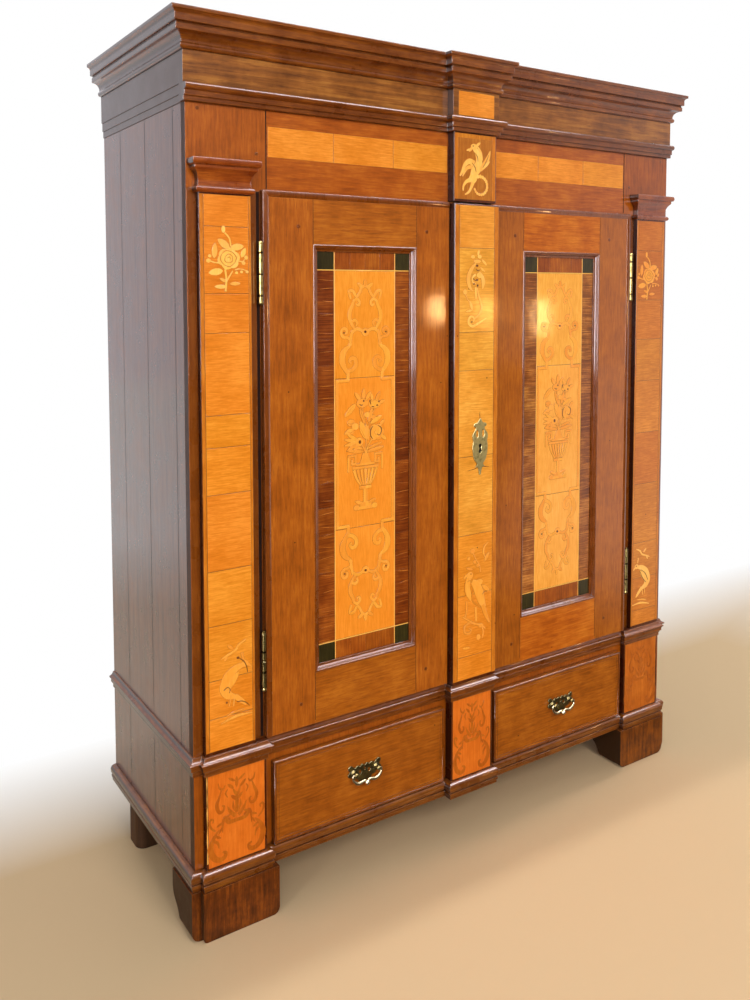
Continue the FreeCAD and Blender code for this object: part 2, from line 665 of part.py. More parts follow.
# Drawers, drawn as the left one
def drawer():
    lip = slab(drawer_left, drawer_right, drawer_face, drawer_face + drawer_lip, drawer_bottom, drawer_top)
    rim = [e for e in lip.Edges if abs(e.BoundBox.YMax - drawer_face) < lay_gap]
    lip = lip.makeFillet(lip_round, rim)
    inset = lip_band
    channel = slab(drawer_left + inset, drawer_right - inset, drawer_face - overrun, drawer_face + lip_groove,
                   drawer_bottom + inset, drawer_top - inset)
    inset = lip_band + lip_groove
    channel = channel.cut(slab(drawer_left + inset, drawer_right - inset, drawer_face - overrun,
                               drawer_face + lip_groove, drawer_bottom + inset, drawer_top - inset))
    left = bay_left + drawer_gap
    right = bay_right - drawer_gap
    low = bay_bottom + run_gap
    high = bay_top - drawer_gap
    plug_front = drawer_face + drawer_lip
    plug_back = plug_front + drawer_plug
    box_back = back - back_board - drawer_back_space
    plug = slab(left, right, plug_front, plug_back, low, high)
    head = lip.cut(channel).fuse(plug)
    side_top = high - drawer_side_drop
    bottom_z = low + drawer_bottom_rise
    base = slab(left + drawer_side_board - drawer_groove, right - drawer_side_board + drawer_groove,
                plug_back - drawer_groove, box_back, bottom_z, bottom_z + drawer_bottom_board)
    groove = grown(base, joinery_gap)
    boards = [slab(left, left + drawer_side_board, plug_back, box_back, low, side_top).cut(groove),
              slab(right - drawer_side_board, right, plug_back, box_back, low, side_top).cut(groove),
              slab(left + drawer_side_board, right - drawer_side_board, box_back - drawer_side_board, box_back,
                   bottom_z + drawer_bottom_board + joinery_gap, side_top)]
    return head.cut(groove).removeSplitter(), boards, base


def handle():
    """Back plate with its two posts, and the bail that hangs between them."""
    x = (drawer_left + drawer_right) / 2
    z = drawer_bottom + handle_rise
    low = z - plate_height * (1 - plate_lift_share)
    high = z + plate_height * plate_lift_share
    wing = plate_width / 2
    edges = [Part.Arc(at(x - wing, drawer_face, z), at(x, drawer_face, high), at(x + wing, drawer_face, z)),
             Part.Arc(at(x + wing, drawer_face, z), at(x, drawer_face, low), at(x - wing, drawer_face, z))]
    plate = Part.Face(Part.Wire([edge.toShape() for edge in edges])).extrude(at(0, -plate_thickness, 0))
    pivot_y = drawer_face - plate_thickness - pivot_reach
    seat = post_spread / 2
    posts = []
    for post_x in (x - seat, x + seat):
        post = rod(at(post_x, drawer_face - plate_thickness, z), at(0, -1, 0), post_radius, post_reach)
        post = post.fuse(Part.makeSphere(post_head, at(post_x, drawer_face - plate_thickness - post_reach, z)))
        bore = rod(at(post_x - post_head - overrun, pivot_y, z), at(1, 0, 0), pivot_radius + pivot_gap,
                   (post_head + overrun) * 2)
        posts.append(post.cut(bore))
    bend = seat - post_head - run_gap - wire_radius
    ring = Part.makeTorus(bend, wire_radius, at(x, pivot_y, z), at(0, 1, 0))
    span = bend + wire_radius
    bail = ring.common(slab(x - span, x + span, pivot_y - wire_radius, pivot_y + wire_radius, z - span, z))
    middle = at(x, pivot_y, z - bend)
    belly = acorn_length * acorn_belly_share / 2
    taper = acorn_length / 2 - belly
    bail = bail.fuse(rod(middle - at(belly, 0, 0), at(1, 0, 0), acorn_radius, belly * 2))
    for sign in (-1, 1):
        bail = bail.fuse(Part.makeCone(acorn_radius, wire_radius, taper, middle + at(sign * belly, 0, 0),
                                       at(sign, 0, 0)))
    for sign in (-1, 1):
        knuckle = Part.makeSphere(wire_radius, at(x + sign * bend, pivot_y, z))
        pivot = rod(at(x + sign * bend, pivot_y, z), at(sign, 0, 0), pivot_radius, seat - bend + post_radius)
        bail = bail.fuse(knuckle).fuse(pivot)
    return plate, posts, bail


head, boards, base = drawer()
plate, posts, bail = handle()
for side, place in (("left", lambda shape: shape), ("right", mirrored)):
    save(side + "_drawer_front", place(head))
    save(side + "_drawer_box_boards", *[place(board) for board in boards])
    save(side + "_drawer_bottom", place(base))
    save(side + "_handle_plate", place(plate), *[place(post) for post in posts])
    save(side + "_handle_bail", place(bail))
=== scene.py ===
# %% [markdown]
# # A two-door inlaid cupboard
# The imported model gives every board, moulding, hinge and bolt in its real place. This lesson dresses
# those solids: polished woods, sawn veneers, inlaid flowers and scrolls, cast brass and forged iron.
# The frame is loaded first, because every later piece is set on a face of one of its solids.

# %% Load the frame and keep its box
import bmesh
import bpy
import math
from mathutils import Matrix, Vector


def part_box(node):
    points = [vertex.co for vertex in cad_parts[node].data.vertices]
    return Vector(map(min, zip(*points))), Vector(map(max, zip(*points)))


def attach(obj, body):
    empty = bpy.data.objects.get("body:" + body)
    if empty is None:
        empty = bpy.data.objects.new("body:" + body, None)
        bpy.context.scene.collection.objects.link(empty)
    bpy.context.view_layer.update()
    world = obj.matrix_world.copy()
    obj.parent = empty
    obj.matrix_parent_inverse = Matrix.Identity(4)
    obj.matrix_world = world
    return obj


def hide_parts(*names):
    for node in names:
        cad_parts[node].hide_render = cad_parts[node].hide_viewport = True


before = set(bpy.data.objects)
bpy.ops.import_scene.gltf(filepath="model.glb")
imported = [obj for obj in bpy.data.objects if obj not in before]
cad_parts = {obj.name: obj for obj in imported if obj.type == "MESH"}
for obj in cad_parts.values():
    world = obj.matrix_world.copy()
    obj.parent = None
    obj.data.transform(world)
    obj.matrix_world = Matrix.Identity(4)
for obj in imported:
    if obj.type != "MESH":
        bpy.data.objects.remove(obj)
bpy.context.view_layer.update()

MM = 0.001

# %% [markdown]
# ## Camera
# The picture was taken standing, to the left of the cupboard, with a wide lens. A camera can be aimed by
# hand, but here the place, the turn and the lens come from the corners of the cupboard itself: they are
# known in millimetres, so one set of numbers fits them all. The lens is shifted, because the picture was
# cropped.

# %% Set the camera
EYE = Vector((-1.5026, -2.0082, 1.4178))
YAW, PITCH, ROLL = (math.radians(v) for v in (32.560, -3.561, -0.150))
IMAGE_WIDE, IMAGE_TALL, FOCAL_PX, CENTRE_PX = 750, 1000, 894.56, (346.50, 348.74)
ahead = Vector((math.sin(YAW) * math.cos(PITCH), math.cos(YAW) * math.cos(PITCH), math.sin(PITCH)))
lens = bpy.data.cameras.new("photo_lens")
lens.sensor_fit = "VERTICAL"
lens.sensor_height = 36.0
lens.lens = lens.sensor_height * FOCAL_PX / IMAGE_TALL
lens.shift_x = (IMAGE_WIDE / 2 - CENTRE_PX[0]) / IMAGE_TALL
lens.shift_y = (CENTRE_PX[1] - IMAGE_TALL / 2) / IMAGE_TALL
camera = bpy.data.objects.new("photo_camera", lens)
camera.location = EYE
camera.rotation_euler = ahead.to_track_quat("-Z", "Y").to_euler()
camera.rotation_euler.rotate_axis("Z", ROLL)
bpy.context.scene.collection.objects.link(camera)
bpy.context.scene.camera = camera
print("lens", round(lens.lens, 2), "mm, shift", round(lens.shift_x, 4), round(lens.shift_y, 4))

# %% [markdown]
# ## Colour and nodes
# Colours are noted as they look on a screen, so one function turns them to the linear light that a renderer
# adds up. Every shader below is a handful of nodes; one helper places a node, sets it and wires it in one
# line.

# %% Colour and node helpers
def linear(code):
    """sRGB hex colour as linear RGBA."""
    parts = [int(code[i:i + 2], 16) / 255 for i in (1, 3, 5)]
    return [p / 12.92 if p <= 0.04045 else ((p + 0.055) / 1.055) ** 2.4 for p in parts] + [1.0]


def add(tree, kind, inputs=None, ramp=None, out=0, **settings):
    """One shader node with its settings, ramp stops and feeds; gives the asked output, or all with None."""
    made = tree.nodes.new("ShaderNode" + kind)
    for key, value in settings.items():
        setattr(made, key, value)
    for index, (place, code) in enumerate(ramp or []):
        stops = made.color_ramp.elements
        stop = stops[index] if index < 2 else stops.new(place)
        stop.position = place
        stop.color = linear(code)
    for socket, value in (inputs or {}).items():
        if isinstance(value, bpy.types.NodeSocket):
            tree.links.new(value, made.inputs[socket])
        else:
            made.inputs[socket].default_value = value
    return made.outputs if out is None else made.outputs[out]


def bare_material(name):
    """A new material with an empty node tree."""
    material = bpy.data.materials.new(name)
    material.use_nodes = True
    material.node_tree.nodes.clear()
    return material, material.node_tree


print("screen grey #808080 is", round(linear("#808080")[0], 3), "in linear light")

# %% [markdown]
# ## White room
# The cupboard stands in a bright room with white walls. Walls could be built, but all they do here is to be
# mirrored in polish, so the world itself answers for them: the camera finds white, and mirrored rays find
# white beside and above, bright panes for the ceiling lights and the window, and a dim room behind the
# viewer. So the front keeps its warm colour.

# %% White room
ROOM_DIM, WALL_WHITE, SOFT_FILL, CEILING_GLARE, WINDOW_GLARE = 0.1, 1.0, 0.42, 22.0, 24.0
# axis of a mirrored ray's direction, where a part of the room begins and where it is full
PARTS = {"beside": ("Y", -0.78, -0.62), "above": ("Z", 0.62, 0.8), "overhead": ("Z", 0.66, 0.72),
         "near_edge": ("Y", -0.38, -0.3), "far_edge": ("Y", -0.04, -0.12), "leftward": ("X", -0.58, -0.66),
         "forward": ("Y", -0.25, -0.35)}
LEVEL_START, LEVEL_END = 0.5, 0.4
bpy.context.scene.view_settings.view_transform = "Standard"
world = bpy.data.worlds.new("white_room")
bpy.context.scene.world = world
world.use_nodes = True
tree = world.node_tree
tree.nodes.clear()
path = add(tree, "LightPath", out=None)
way = add(tree, "SeparateXYZ", {0: add(tree, "TexCoord", out="Generated")}, out=None)
within = {}
for part, (axis, enter, full) in PARTS.items():
    within[part] = add(tree, "MapRange", {"Value": way[axis], "From Min": enter, "From Max": full})
level = add(tree, "Math", {0: way["Z"]}, operation="ABSOLUTE")
within["level"] = add(tree, "MapRange", {"Value": level, "From Min": LEVEL_START, "From Max": LEVEL_END})
around = add(tree, "Math", {0: within["beside"], 1: within["above"]}, operation="MAXIMUM")
mirrored = add(tree, "MapRange", {"Value": around, "To Min": ROOM_DIM, "To Max": WALL_WHITE})
# bright panes that only rounded polish can catch: ceiling lights overhead and a tall window on the left
for glare, first, second, third in ((CEILING_GLARE, "overhead", "near_edge", "far_edge"),
                                    (WINDOW_GLARE, "leftward", "level", "forward")):
    pane = add(tree, "Math", {0: within[first], 1: within[second]}, operation="MULTIPLY")
    pane = add(tree, "Math", {0: pane, 1: within[third]}, operation="MULTIPLY")
    mirrored = add(tree, "Math", {0: pane, 1: glare, 2: mirrored}, operation="MULTIPLY_ADD")
gloss = add(tree, "Math", {0: path["Is Glossy Ray"], 1: path["Is Transmission Ray"]}, operation="MAXIMUM")
fill = add(tree, "Background", {"Color": linear("#FFFFFF"), "Strength": SOFT_FILL})
room = add(tree, "Background", {"Color": linear("#F8F4FA"), "Strength": mirrored})
wall = add(tree, "Background", {"Color": linear("#FFFFFF"), "Strength": WALL_WHITE})
glint = add(tree, "MixShader", {0: gloss, 1: fill, 2: room})
seen = add(tree, "MixShader", {0: path["Is Camera Ray"], 1: glint, 2: wall})
add(tree, "OutputWorld", {"Surface": seen}, out=None)
print("room:", len(within), "parts for mirrored rays")

# %% [markdown]
# ## Floor
# A plain pale floor takes the shadow of the cupboard and warms its foot. A square board would end in a hard
# edge, so the shader fades it into the white of the wall, far from the middle and behind the cupboard.

# %% Pale floor that fades to the white wall
REACH, NEAR, FAR, WALL_START, WALL_END, MIRRORED_WALL = 12.0, 1.7, 3.4, 0.2, 0.75, 0.35
FRONT_START, FRONT_END, SLANT, LEFT_START, LEFT_END = -0.3, -0.4, 0.95, 0.2, -0.7
CLOSE_START, CLOSE_END = 2.0, 1.3
FLOOR = "#CBB08A"
floor_mesh = bpy.data.meshes.new("studio_floor")
floor_mesh.from_pydata([(-REACH, -REACH, 0), (REACH, -REACH, 0), (REACH, REACH, 0), (-REACH, REACH, 0)], [],
                       [(0, 1, 2, 3)])
studio_floor = bpy.data.objects.new("studio_floor", floor_mesh)
bpy.context.scene.collection.objects.link(studio_floor)
pale, tree = bare_material("pale_floor")
path = add(tree, "LightPath", out=None)
spot = add(tree, "TexCoord", out="Object")
far_off = add(tree, "VectorMath", {0: spot}, operation="LENGTH", out="Value")
away = add(tree, "MapRange", {"Value": far_off, "From Min": NEAR, "From Max": FAR})
place = add(tree, "SeparateXYZ", {0: spot}, out=None)
behind = add(tree, "MapRange", {"Value": place["Y"], "From Min": WALL_START, "From Max": WALL_END})
seen_white = add(tree, "Math", {0: away, 1: behind}, operation="MAXIMUM")
seen_white = add(tree, "Math", {0: seen_white, 1: path["Is Camera Ray"]}, operation="MULTIPLY")
# polish on the side boards mirrors mostly the floor, and the white of the wall in part
part_white = add(tree, "MapRange", {"Value": behind, "To Max": MIRRORED_WALL})
far_gloss = add(tree, "Math", {0: away, 1: part_white}, operation="MAXIMUM")
far_gloss = add(tree, "Math", {0: far_gloss, 1: path["Is Glossy Ray"]}, operation="MULTIPLY")
fade = add(tree, "Math", {0: seen_white, 1: far_gloss}, operation="MAXIMUM")
matt = add(tree, "BsdfPrincipled",
           {"Base Color": linear(FLOOR), "Roughness": 0.6, "Specular IOR Level": 0.1})
blank = add(tree, "Emission", {"Color": linear("#FFFFFF")})
ground = add(tree, "MixShader", {0: fade, 1: matt, 2: blank})
# the polished front mirrors the floor before it as dimly as the room behind the viewer
before = add(tree, "MapRange", {"Value": place["Y"], "From Min": FRONT_START, "From Max": FRONT_END})
slant = add(tree, "Math", {0: place["X"], 1: SLANT, 2: place["Y"]}, operation="MULTIPLY_ADD")
to_left = add(tree, "MapRange", {"Value": slant, "From Min": LEFT_START, "From Max": LEFT_END})
close_by = add(tree, "MapRange", {"Value": place["X"], "From Min": CLOSE_START, "From Max": CLOSE_END})
to_left = add(tree, "Math", {0: to_left, 1: close_by}, operation="MAXIMUM")
dimmed = add(tree, "Math", {0: before, 1: to_left}, operation="MULTIPLY")
dimmed = add(tree, "Math", {0: dimmed, 1: path["Is Glossy Ray"]}, operation="MULTIPLY")
dusk = add(tree, "Emission", {"Color": linear(FLOOR), "Strength": ROOM_DIM})
surface = add(tree, "MixShader", {0: dimmed, 1: ground, 2: dusk})
add(tree, "OutputMaterial", {"Surface": surface}, out=None)
floor_mesh.materials.append(pale)
print("floor:", 2 * REACH, "m across")

# %% [markdown]
# ## Lamps
# Area lamps stand in for the windows and for a row of ceiling lights just over the front, which draws a
# bright line along every bead. Three small warm lamps far off put the glints on the doors. Point lamps would
# do for the glints alone, but a lamp with a size gives the soft edge of shadow that a window gives.

# %% Lamps
# name, place, aim, width and height in metres, watts, colour
LAMPS = [
    ("window_left", (-2.8, -3.8, 3.0), (-0.2, -0.2, 1.0), (2.2, 2.2), 45.0, "#FFFFFF"),
    ("window_front", (-0.3, -4.6, 3.3), (0.2, -0.2, 1.0), (2.0, 2.0), 104.0, "#FFFFFF"),
    ("side_window", (-3.3, -1.7, 1.5), (0.0, -0.2, 1.2), (0.35, 2.0), 19.0, "#FFFFFF"),
    ("ceiling_row", (1.0, -0.1, 4.2), (1.0, -0.1, 0.0), (5.0, 0.08), 95.0, "#FFFFFF"),
    ("far_lamp", (3.01, -4.2, 1.28), (0.0, -0.2, 1.3), (0.08, 0.18), 3.6, "#FFC27C"),
    ("far_lamp_middle", (3.5, -4.2, 1.26), (0.1, -0.2, 1.3), (0.08, 0.25), 3.0, "#FFB868"),
    ("far_lamp_right", (4.2, -4.2, 1.2), (0.2, -0.2, 1.3), (0.05, 0.3), 5.0, "#FFC27C")]
for name, place, aim, size, watts, colour in LAMPS:
    lamp = bpy.data.lights.new(name, "AREA")
    lamp.shape = "RECTANGLE"
    lamp.size, lamp.size_y = size
    lamp.energy = watts
    lamp.color = linear(colour)[:3]
    holder = bpy.data.objects.new(name, lamp)
    holder.location = place
    holder.rotation_euler = (Vector(aim) - Vector(place)).to_track_quat("-Z", "Y").to_euler()
    bpy.context.scene.collection.objects.link(holder)
print("lamps:", len(LAMPS))

# %% [markdown]
# ## Polished hardwood
# Frame, mouldings and sides are brown hardwood, planed and rubbed with many thin coats of shellac. Light
# goes through the clear skin, picks up the streaks of the wood and comes back warm; the skin itself mirrors
# the room. A picture of wood could be wrapped round each board. Noise stretched along the grain is used
# instead: it never repeats, it holds at any size, and it stays on the board when a door opens.

# %% The figure of planed wood
PORE_MM = 2.2


def run_along(along, stretch):
    """How far each axis is drawn out so that streaks run with the grain, round corners too."""
    return {"x": (stretch, 1.0, 1.0), "z": (1.0, 1.0, stretch), "round": (stretch, stretch, 1.0)}[along]


def wood_figure(tree, place, luck, tones, grain, streak_mm, cloud_mm, shade):
    """The colour of planed wood, and the streaks, clouds and pores that it is made of."""
    deep, mid, bright = tones
    apart = add(tree, "VectorMath", {0: place, 1: luck}, operation="ADD")
    fibre = add(tree, "VectorMath", {0: apart, 1: grain}, operation="MULTIPLY")
    streak = add(tree, "TexNoise", {"Vector": fibre, "Scale": 1 / (streak_mm * MM), "Detail": 8.0,
                                    "Roughness": 0.68, "Distortion": 0.25})
    cloud = add(tree, "TexNoise", {"Vector": apart, "Scale": 1 / (cloud_mm * MM), "Detail": 6.0,
                                   "Roughness": 0.62})
    # real pores are a tenth of a millimetre wide; these are coarser, to show from two metres
    pore = add(tree, "TexNoise", {"Vector": fibre, "Scale": 1 / (PORE_MM * MM), "Detail": 2.0})
    figure = add(tree, "Mix", {0: 0.4, 2: streak, 3: cloud})
    colour = add(tree, "ValToRGB", {0: figure}, ramp=[(0.36, deep), (0.5, mid), (0.64, bright)])
    # one board or leaf of veneer is a little paler than the next
    tone = add(tree, "ValToRGB", {0: luck}, ramp=[(0.0, shade), (0.6, "#FFFFFF"), (1.0, "#F8FFF0")])
    colour = add(tree, "Mix", {0: 1.0, 6: colour, 7: tone}, data_type="RGBA", blend_type="MULTIPLY", out=2)
    dash = add(tree, "MapRange", {"Value": pore, "From Min": 0.42, "From Max": 0.3, "To Max": 0.6})
    colour = add(tree, "Mix", {0: dash, 6: colour, 7: linear(deep)}, data_type="RGBA", out=2)
    return colour, streak, cloud, pore


print("pores drawn", PORE_MM, "mm wide")

# %% [markdown]
# ## Dirt and painted shade
# Old furniture is cleaned on its faces and not in its corners, so dirt stays in every nook, in the joints of
# planks and in nail holes, and the nooks are darkened further with painted shade, for the black lines of
# gaps and grooves. It could be painted by hand. Here the renderer asks at each point how closed in it is, so
# dirt and shade are found in the right places on any piece.

# %% Dirt and painted shade in nooks, dirt in joints and nail holes
NOOK_MM, SPECK_GAP_MM, PLANK_GAP_MM, PLANK_LINE_MM, SOFT_SAMPLES = 8.0, 110.0, 5.0, 1.5, 4


def dirt_and_shade_on(tree, place, specks, planks_mm):
    """How much dirt and painted shade lie on each point of a board."""
    x, y, z = add(tree, "SeparateXYZ", {0: place}, out=None)
    spread = add(tree, "CombineXYZ", {0: add(tree, "Math", {0: x, 1: y}), 1: z})
    cell = add(tree, "TexVoronoi", {"Vector": spread, "Scale": 1 / (SPECK_GAP_MM * MM)},
               voronoi_dimensions="2D", out=None)
    near = add(tree, "MapRange", {"Value": cell["Distance"], "From Min": 0.02, "From Max": 0.01})
    chosen = add(tree, "Math", {0: cell["Color"], 1: specks}, operation="GREATER_THAN")
    speck = add(tree, "Math", {0: near, 1: chosen}, operation="MULTIPLY")
    # painted shade and dirt: the more closed in a point is, the darker it is painted
    nook = add(tree, "AmbientOcclusion", {"Distance": NOOK_MM * MM}, samples=SOFT_SAMPLES, out="AO")
    dirt_and_shade = add(tree, "MapRange", {"Value": nook, "From Min": 0.78, "From Max": 0.25, "To Max": 0.95})
    dirt_and_shade = add(tree, "Math", {0: dirt_and_shade, 1: speck}, operation="MAXIMUM")
    if planks_mm:
        turn = add(tree, "Math", {0: y, 1: planks_mm * MM}, operation="FLOORED_MODULO")
        joint = add(tree, "MapRange",
                    {"Value": turn, "From Min": PLANK_GAP_MM * MM, "From Max": PLANK_LINE_MM * MM})
        dirt_and_shade = add(tree, "Math", {0: dirt_and_shade, 1: joint}, operation="MAXIMUM")
    return dirt_and_shade


# dirt and painted shade both reach this far into a nook
print("dirt reaches", NOOK_MM, "mm into a nook, a speck every", SPECK_GAP_MM, "mm or so")

# %% [markdown]
# ## Wear, painted light and polish
# Hands rub the arrises pale, and the pale arris doubles as a painted highlight. Painted shade darkens the
# corners, and shellac covers all but the dirt and the shaded nooks. A plain glossy shader would mirror with
# the wood itself; here a clear coat lies over matt wood, as on the real board.

# %% One polished hardwood
# the near-black laid for dirt and for painted shade, and how far painted shade reaches round a corner
CORNER_SHADE_MM, RELIEF_MM, WAVE_MM, DIRT_AND_SHADE = 60.0, 0.25, 0.8, "#1C0903"


def polished_wood(name, deep, mid, bright, along, streak_mm=5.0, cloud_mm=80.0, stretch=0.08, rough=0.36,
                  coat=0.8, skin=0.08, arris_mm=1.2, worn="#B8743A", shade="#E6DCD0", leaves=False,
                  planks_mm=None, specks=0.75, stain=None, dull_sides=False):
    """Hardwood under rubbed shellac: figure, worn and highlit arrises, stained edges, painted shade, dirt.
    """
    material, tree = bare_material(name)
    board = add(tree, "TexCoord", out=None)
    place = board["Object"]
    geometry = add(tree, "NewGeometry", out=None)
    luck = geometry["Random Per Island"] if leaves else add(tree, "ObjectInfo", out="Random")
    colour, streak, cloud, pore = wood_figure(tree, place, luck, (deep, mid, bright),
                                              run_along(along, stretch), streak_mm, cloud_mm, shade)
    soft_arris = add(tree, "Bevel", {"Radius": arris_mm * MM}, samples=SOFT_SAMPLES)
    turned = add(tree, "VectorMath", {0: soft_arris, 1: geometry["Normal"]}, operation="DOT_PRODUCT",
                 out="Value")
    # pale arrises: rubbed wear, and a painted highlight along each arris
    rubbed = add(tree, "MapRange", {"Value": turned, "From Min": 0.98, "From Max": 0.75})
    rubbed = add(tree, "Math", {0: rubbed, 1: cloud}, operation="MULTIPLY")
    colour = add(tree, "Mix", {0: rubbed, 6: colour, 7: linear(worn)}, data_type="RGBA", out=2)
    if stain:
        # which way the board's own face looks, so that an opened door keeps its polish
        sideways = add(tree, "SeparateXYZ", {0: board["Normal"]}, out="X")
        sideways = add(tree, "Math", {0: sideways}, operation="ABSOLUTE")
        edge = add(tree, "MapRange", {"Value": sideways, "From Min": 0.6, "From Max": 0.85})
        colour = add(tree, "Mix", {0: edge, 6: colour, 7: linear(stain)}, data_type="RGBA", out=2)

    # painted shade: the wood darkens a hand's breadth around every corner
    corner = add(tree, "AmbientOcclusion", {"Distance": CORNER_SHADE_MM * MM}, samples=SOFT_SAMPLES, out="AO")
    corner = add(tree, "Math", {0: corner, 1: cloud})
    corner_shade = add(tree, "MapRange", {"Value": corner, "From Min": 1.3, "From Max": 0.6, "To Max": 0.6})
    colour = add(tree, "Mix", {0: corner_shade, 6: colour, 7: linear(deep)}, data_type="RGBA", out=2)
    dirt_and_shade = dirt_and_shade_on(tree, place, specks, planks_mm)
    colour = add(tree, "Mix", {0: dirt_and_shade, 6: colour, 7: linear(DIRT_AND_SHADE)}, data_type="RGBA", out=2)
    # dirt and painted nook shade are dull, and so is an edge that was never polished: the coat stops there
    dull = add(tree, "Math", {0: dirt_and_shade, 1: edge}, operation="MAXIMUM") if dull_sides else dirt_and_shade
    polish = add(tree, "MapRange", {"Value": dull, "To Min": coat, "To Max": 0.0}) if coat else 0.0

    sheen = add(tree, "MapRange", {"Value": cloud, "From Min": 0.3, "From Max": 0.7, "To Min": rough - 0.07,
                                   "To Max": rough + 0.09})
    relief = add(tree, "Mix", {0: 0.35, 2: streak, 3: pore})
    bump = add(tree, "Bump",
               {"Height": relief, "Normal": soft_arris, "Strength": 0.4, "Distance": RELIEF_MM * MM})
    # polish is rubbed by hand and never quite flat, so what it mirrors runs in gentle waves
    wave = add(tree, "Bump",
               {"Height": cloud, "Normal": soft_arris, "Strength": 0.3, "Distance": WAVE_MM * MM})
    # under its skin of shellac the wood itself hardly glints, so the gloss is left to the coat
    body = add(tree, "BsdfPrincipled", {
        "Base Color": colour, "Roughness": sheen, "IOR": 1.5, "Specular IOR Level": 0.15, "Normal": bump,
        "Coat Weight": polish, "Coat Roughness": skin, "Coat IOR": 1.5, "Coat Normal": wave})
    add(tree, "OutputMaterial", {"Surface": body}, out=None)
    return material


print("wood darkens", CORNER_SHADE_MM, "mm around a corner")

# %% The woods of the cupboard
# polished walnut: warm brown, upright in stiles and level in rails, its side edges stained
walnut_upright = polished_wood("polished_walnut_upright", "#84420A", "#A6560E", "#BC6A18", "z",
                               stain="#341A0A", dull_sides=True)
walnut_level = polished_wood("polished_walnut_level", "#84420A", "#A8580E", "#C06E1A", "x", stain="#341A0A",
                             dull_sides=True)
# the board over the doors: the same walnut, a shade brighter
walnut_frieze = polished_wood("polished_walnut_frieze", "#924608", "#B45E10", "#CC781C", "x",
                              stain="#341A0A", dull_sides=True)
# the right-hand door's rails: amber, with their polish rubbed thin
walnut_amber = polished_wood("rubbed_amber_walnut", "#A04E0A", "#C86C14", "#E08A26", "x", coat=0.4,
                             stain="#341A0A", dull_sides=True)
# drawer fronts: a cloudier, browner leaf of the same wood
walnut_drawer = polished_wood("polished_walnut_drawer", "#824208", "#A2580C", "#BA6C16", "x", cloud_mm=50.0,
                              stain="#30160A", dull_sides=True)
# cornice boards: the same wood, browned by smoke; grey where the side catches the wall
smoked_walnut = polished_wood("smoked_walnut_boards", "#5A3210", "#8A521C", "#AA702C", "round",
                              streak_mm=9.0, stretch=0.05, shade="#FFFFFF", stain="#3A2418")
# dark polished mouldings: deep red brown, black with dirt and painted shade in the grooves,
# the arrises rubbed lighter, which also paints a highlight on them
dark_moulding = polished_wood("dark_polished_moulding", "#5A2A08", "#7A400E", "#965618", "round", rough=0.3,
                              coat=1.0, skin=0.04, arris_mm=3.0, worn="#A8642C", stain="#3A2216")
# capitals: the same moulding wood, redder
red_moulding = polished_wood("red_polished_moulding", "#68280A", "#8E4010", "#AA581A", "round", rough=0.3,
                             coat=1.0, skin=0.04, arris_mm=3.0, worn="#B06A34", stain="#3A2216")
# stained beads and edges: nearly maroon, so a thin bright line runs along each arris, in part a painted
# highlight
maroon_bead = polished_wood("maroon_stained_bead", "#421806", "#5A2608", "#70340E", "z", rough=0.28,
                            coat=1.0, skin=0.05, arris_mm=2.5, worn="#8C4E26", stain="#2A1208",
                            dull_sides=True)
# panel frames and door beads: brown wood between door and panel
brown_bead = polished_wood("brown_stained_bead", "#6A340A", "#7C3E0C", "#8A4A12", "z", rough=0.28, coat=1.0,
                           skin=0.04, arris_mm=2.5)
# side boards: dark oiled walnut in planks, polished enough to mirror the white wall
side_planks = polished_wood("polished_side_planks", "#46221A", "#5C3424", "#70442E", "z", streak_mm=14.0,
                            rough=0.3, coat=1.0, skin=0.12, worn="#7A5030", planks_mm=172.0)
# bracket feet: mottled walnut, scuffed and dull near the floor
foot_walnut = polished_wood("scuffed_foot_walnut", "#3C1A02", "#6E3606", "#96500E", "z", streak_mm=9.0,
                            cloud_mm=35.0, rough=0.5, coat=0.2, stain="#281606", dull_sides=True)
# inside boards: plain planed deal, never polished, so it is pale and quite without gloss
planed_deal = polished_wood("planed_deal_inside", "#7E5A34", "#9A7448", "#B48C5C", "round", rough=0.72,
                            coat=0.0, worn="#B8925E")
# rear feet: the same deal, made nearly black as painted shade under the cupboard
shaded_deal = polished_wood("aged_dark_deal", "#2A1A0C", "#3E2814", "#523820", "z", rough=0.7, coat=0.0,
                          worn="#6A4A2C")
print("woods:", len([m for m in bpy.data.materials if m.use_nodes]))

# %% [markdown]
# ## Brass and iron
# The handles and the key plate are cast brass that has gone olive brown, bright only where hands rub it;
# those rubbed edges carry a painted highlight as well. The hinges are smoother, and the lock and bolts are
# forged iron, black with a dull sheen. A metal has no coat of colour: its own colour tints what it mirrors,
# so the shader is fully metallic and the stain lies in its hollows.

# %% One worn metal
CAST_MM, CAST_RELIEF_MM, SOFT_EDGE_MM, HOLLOW_MM = 9.0, 0.3, 1.2, 6.0
KNUCKLE_GAP_MM, KNUCKLE_LINE_MM = 6.0, 4.0


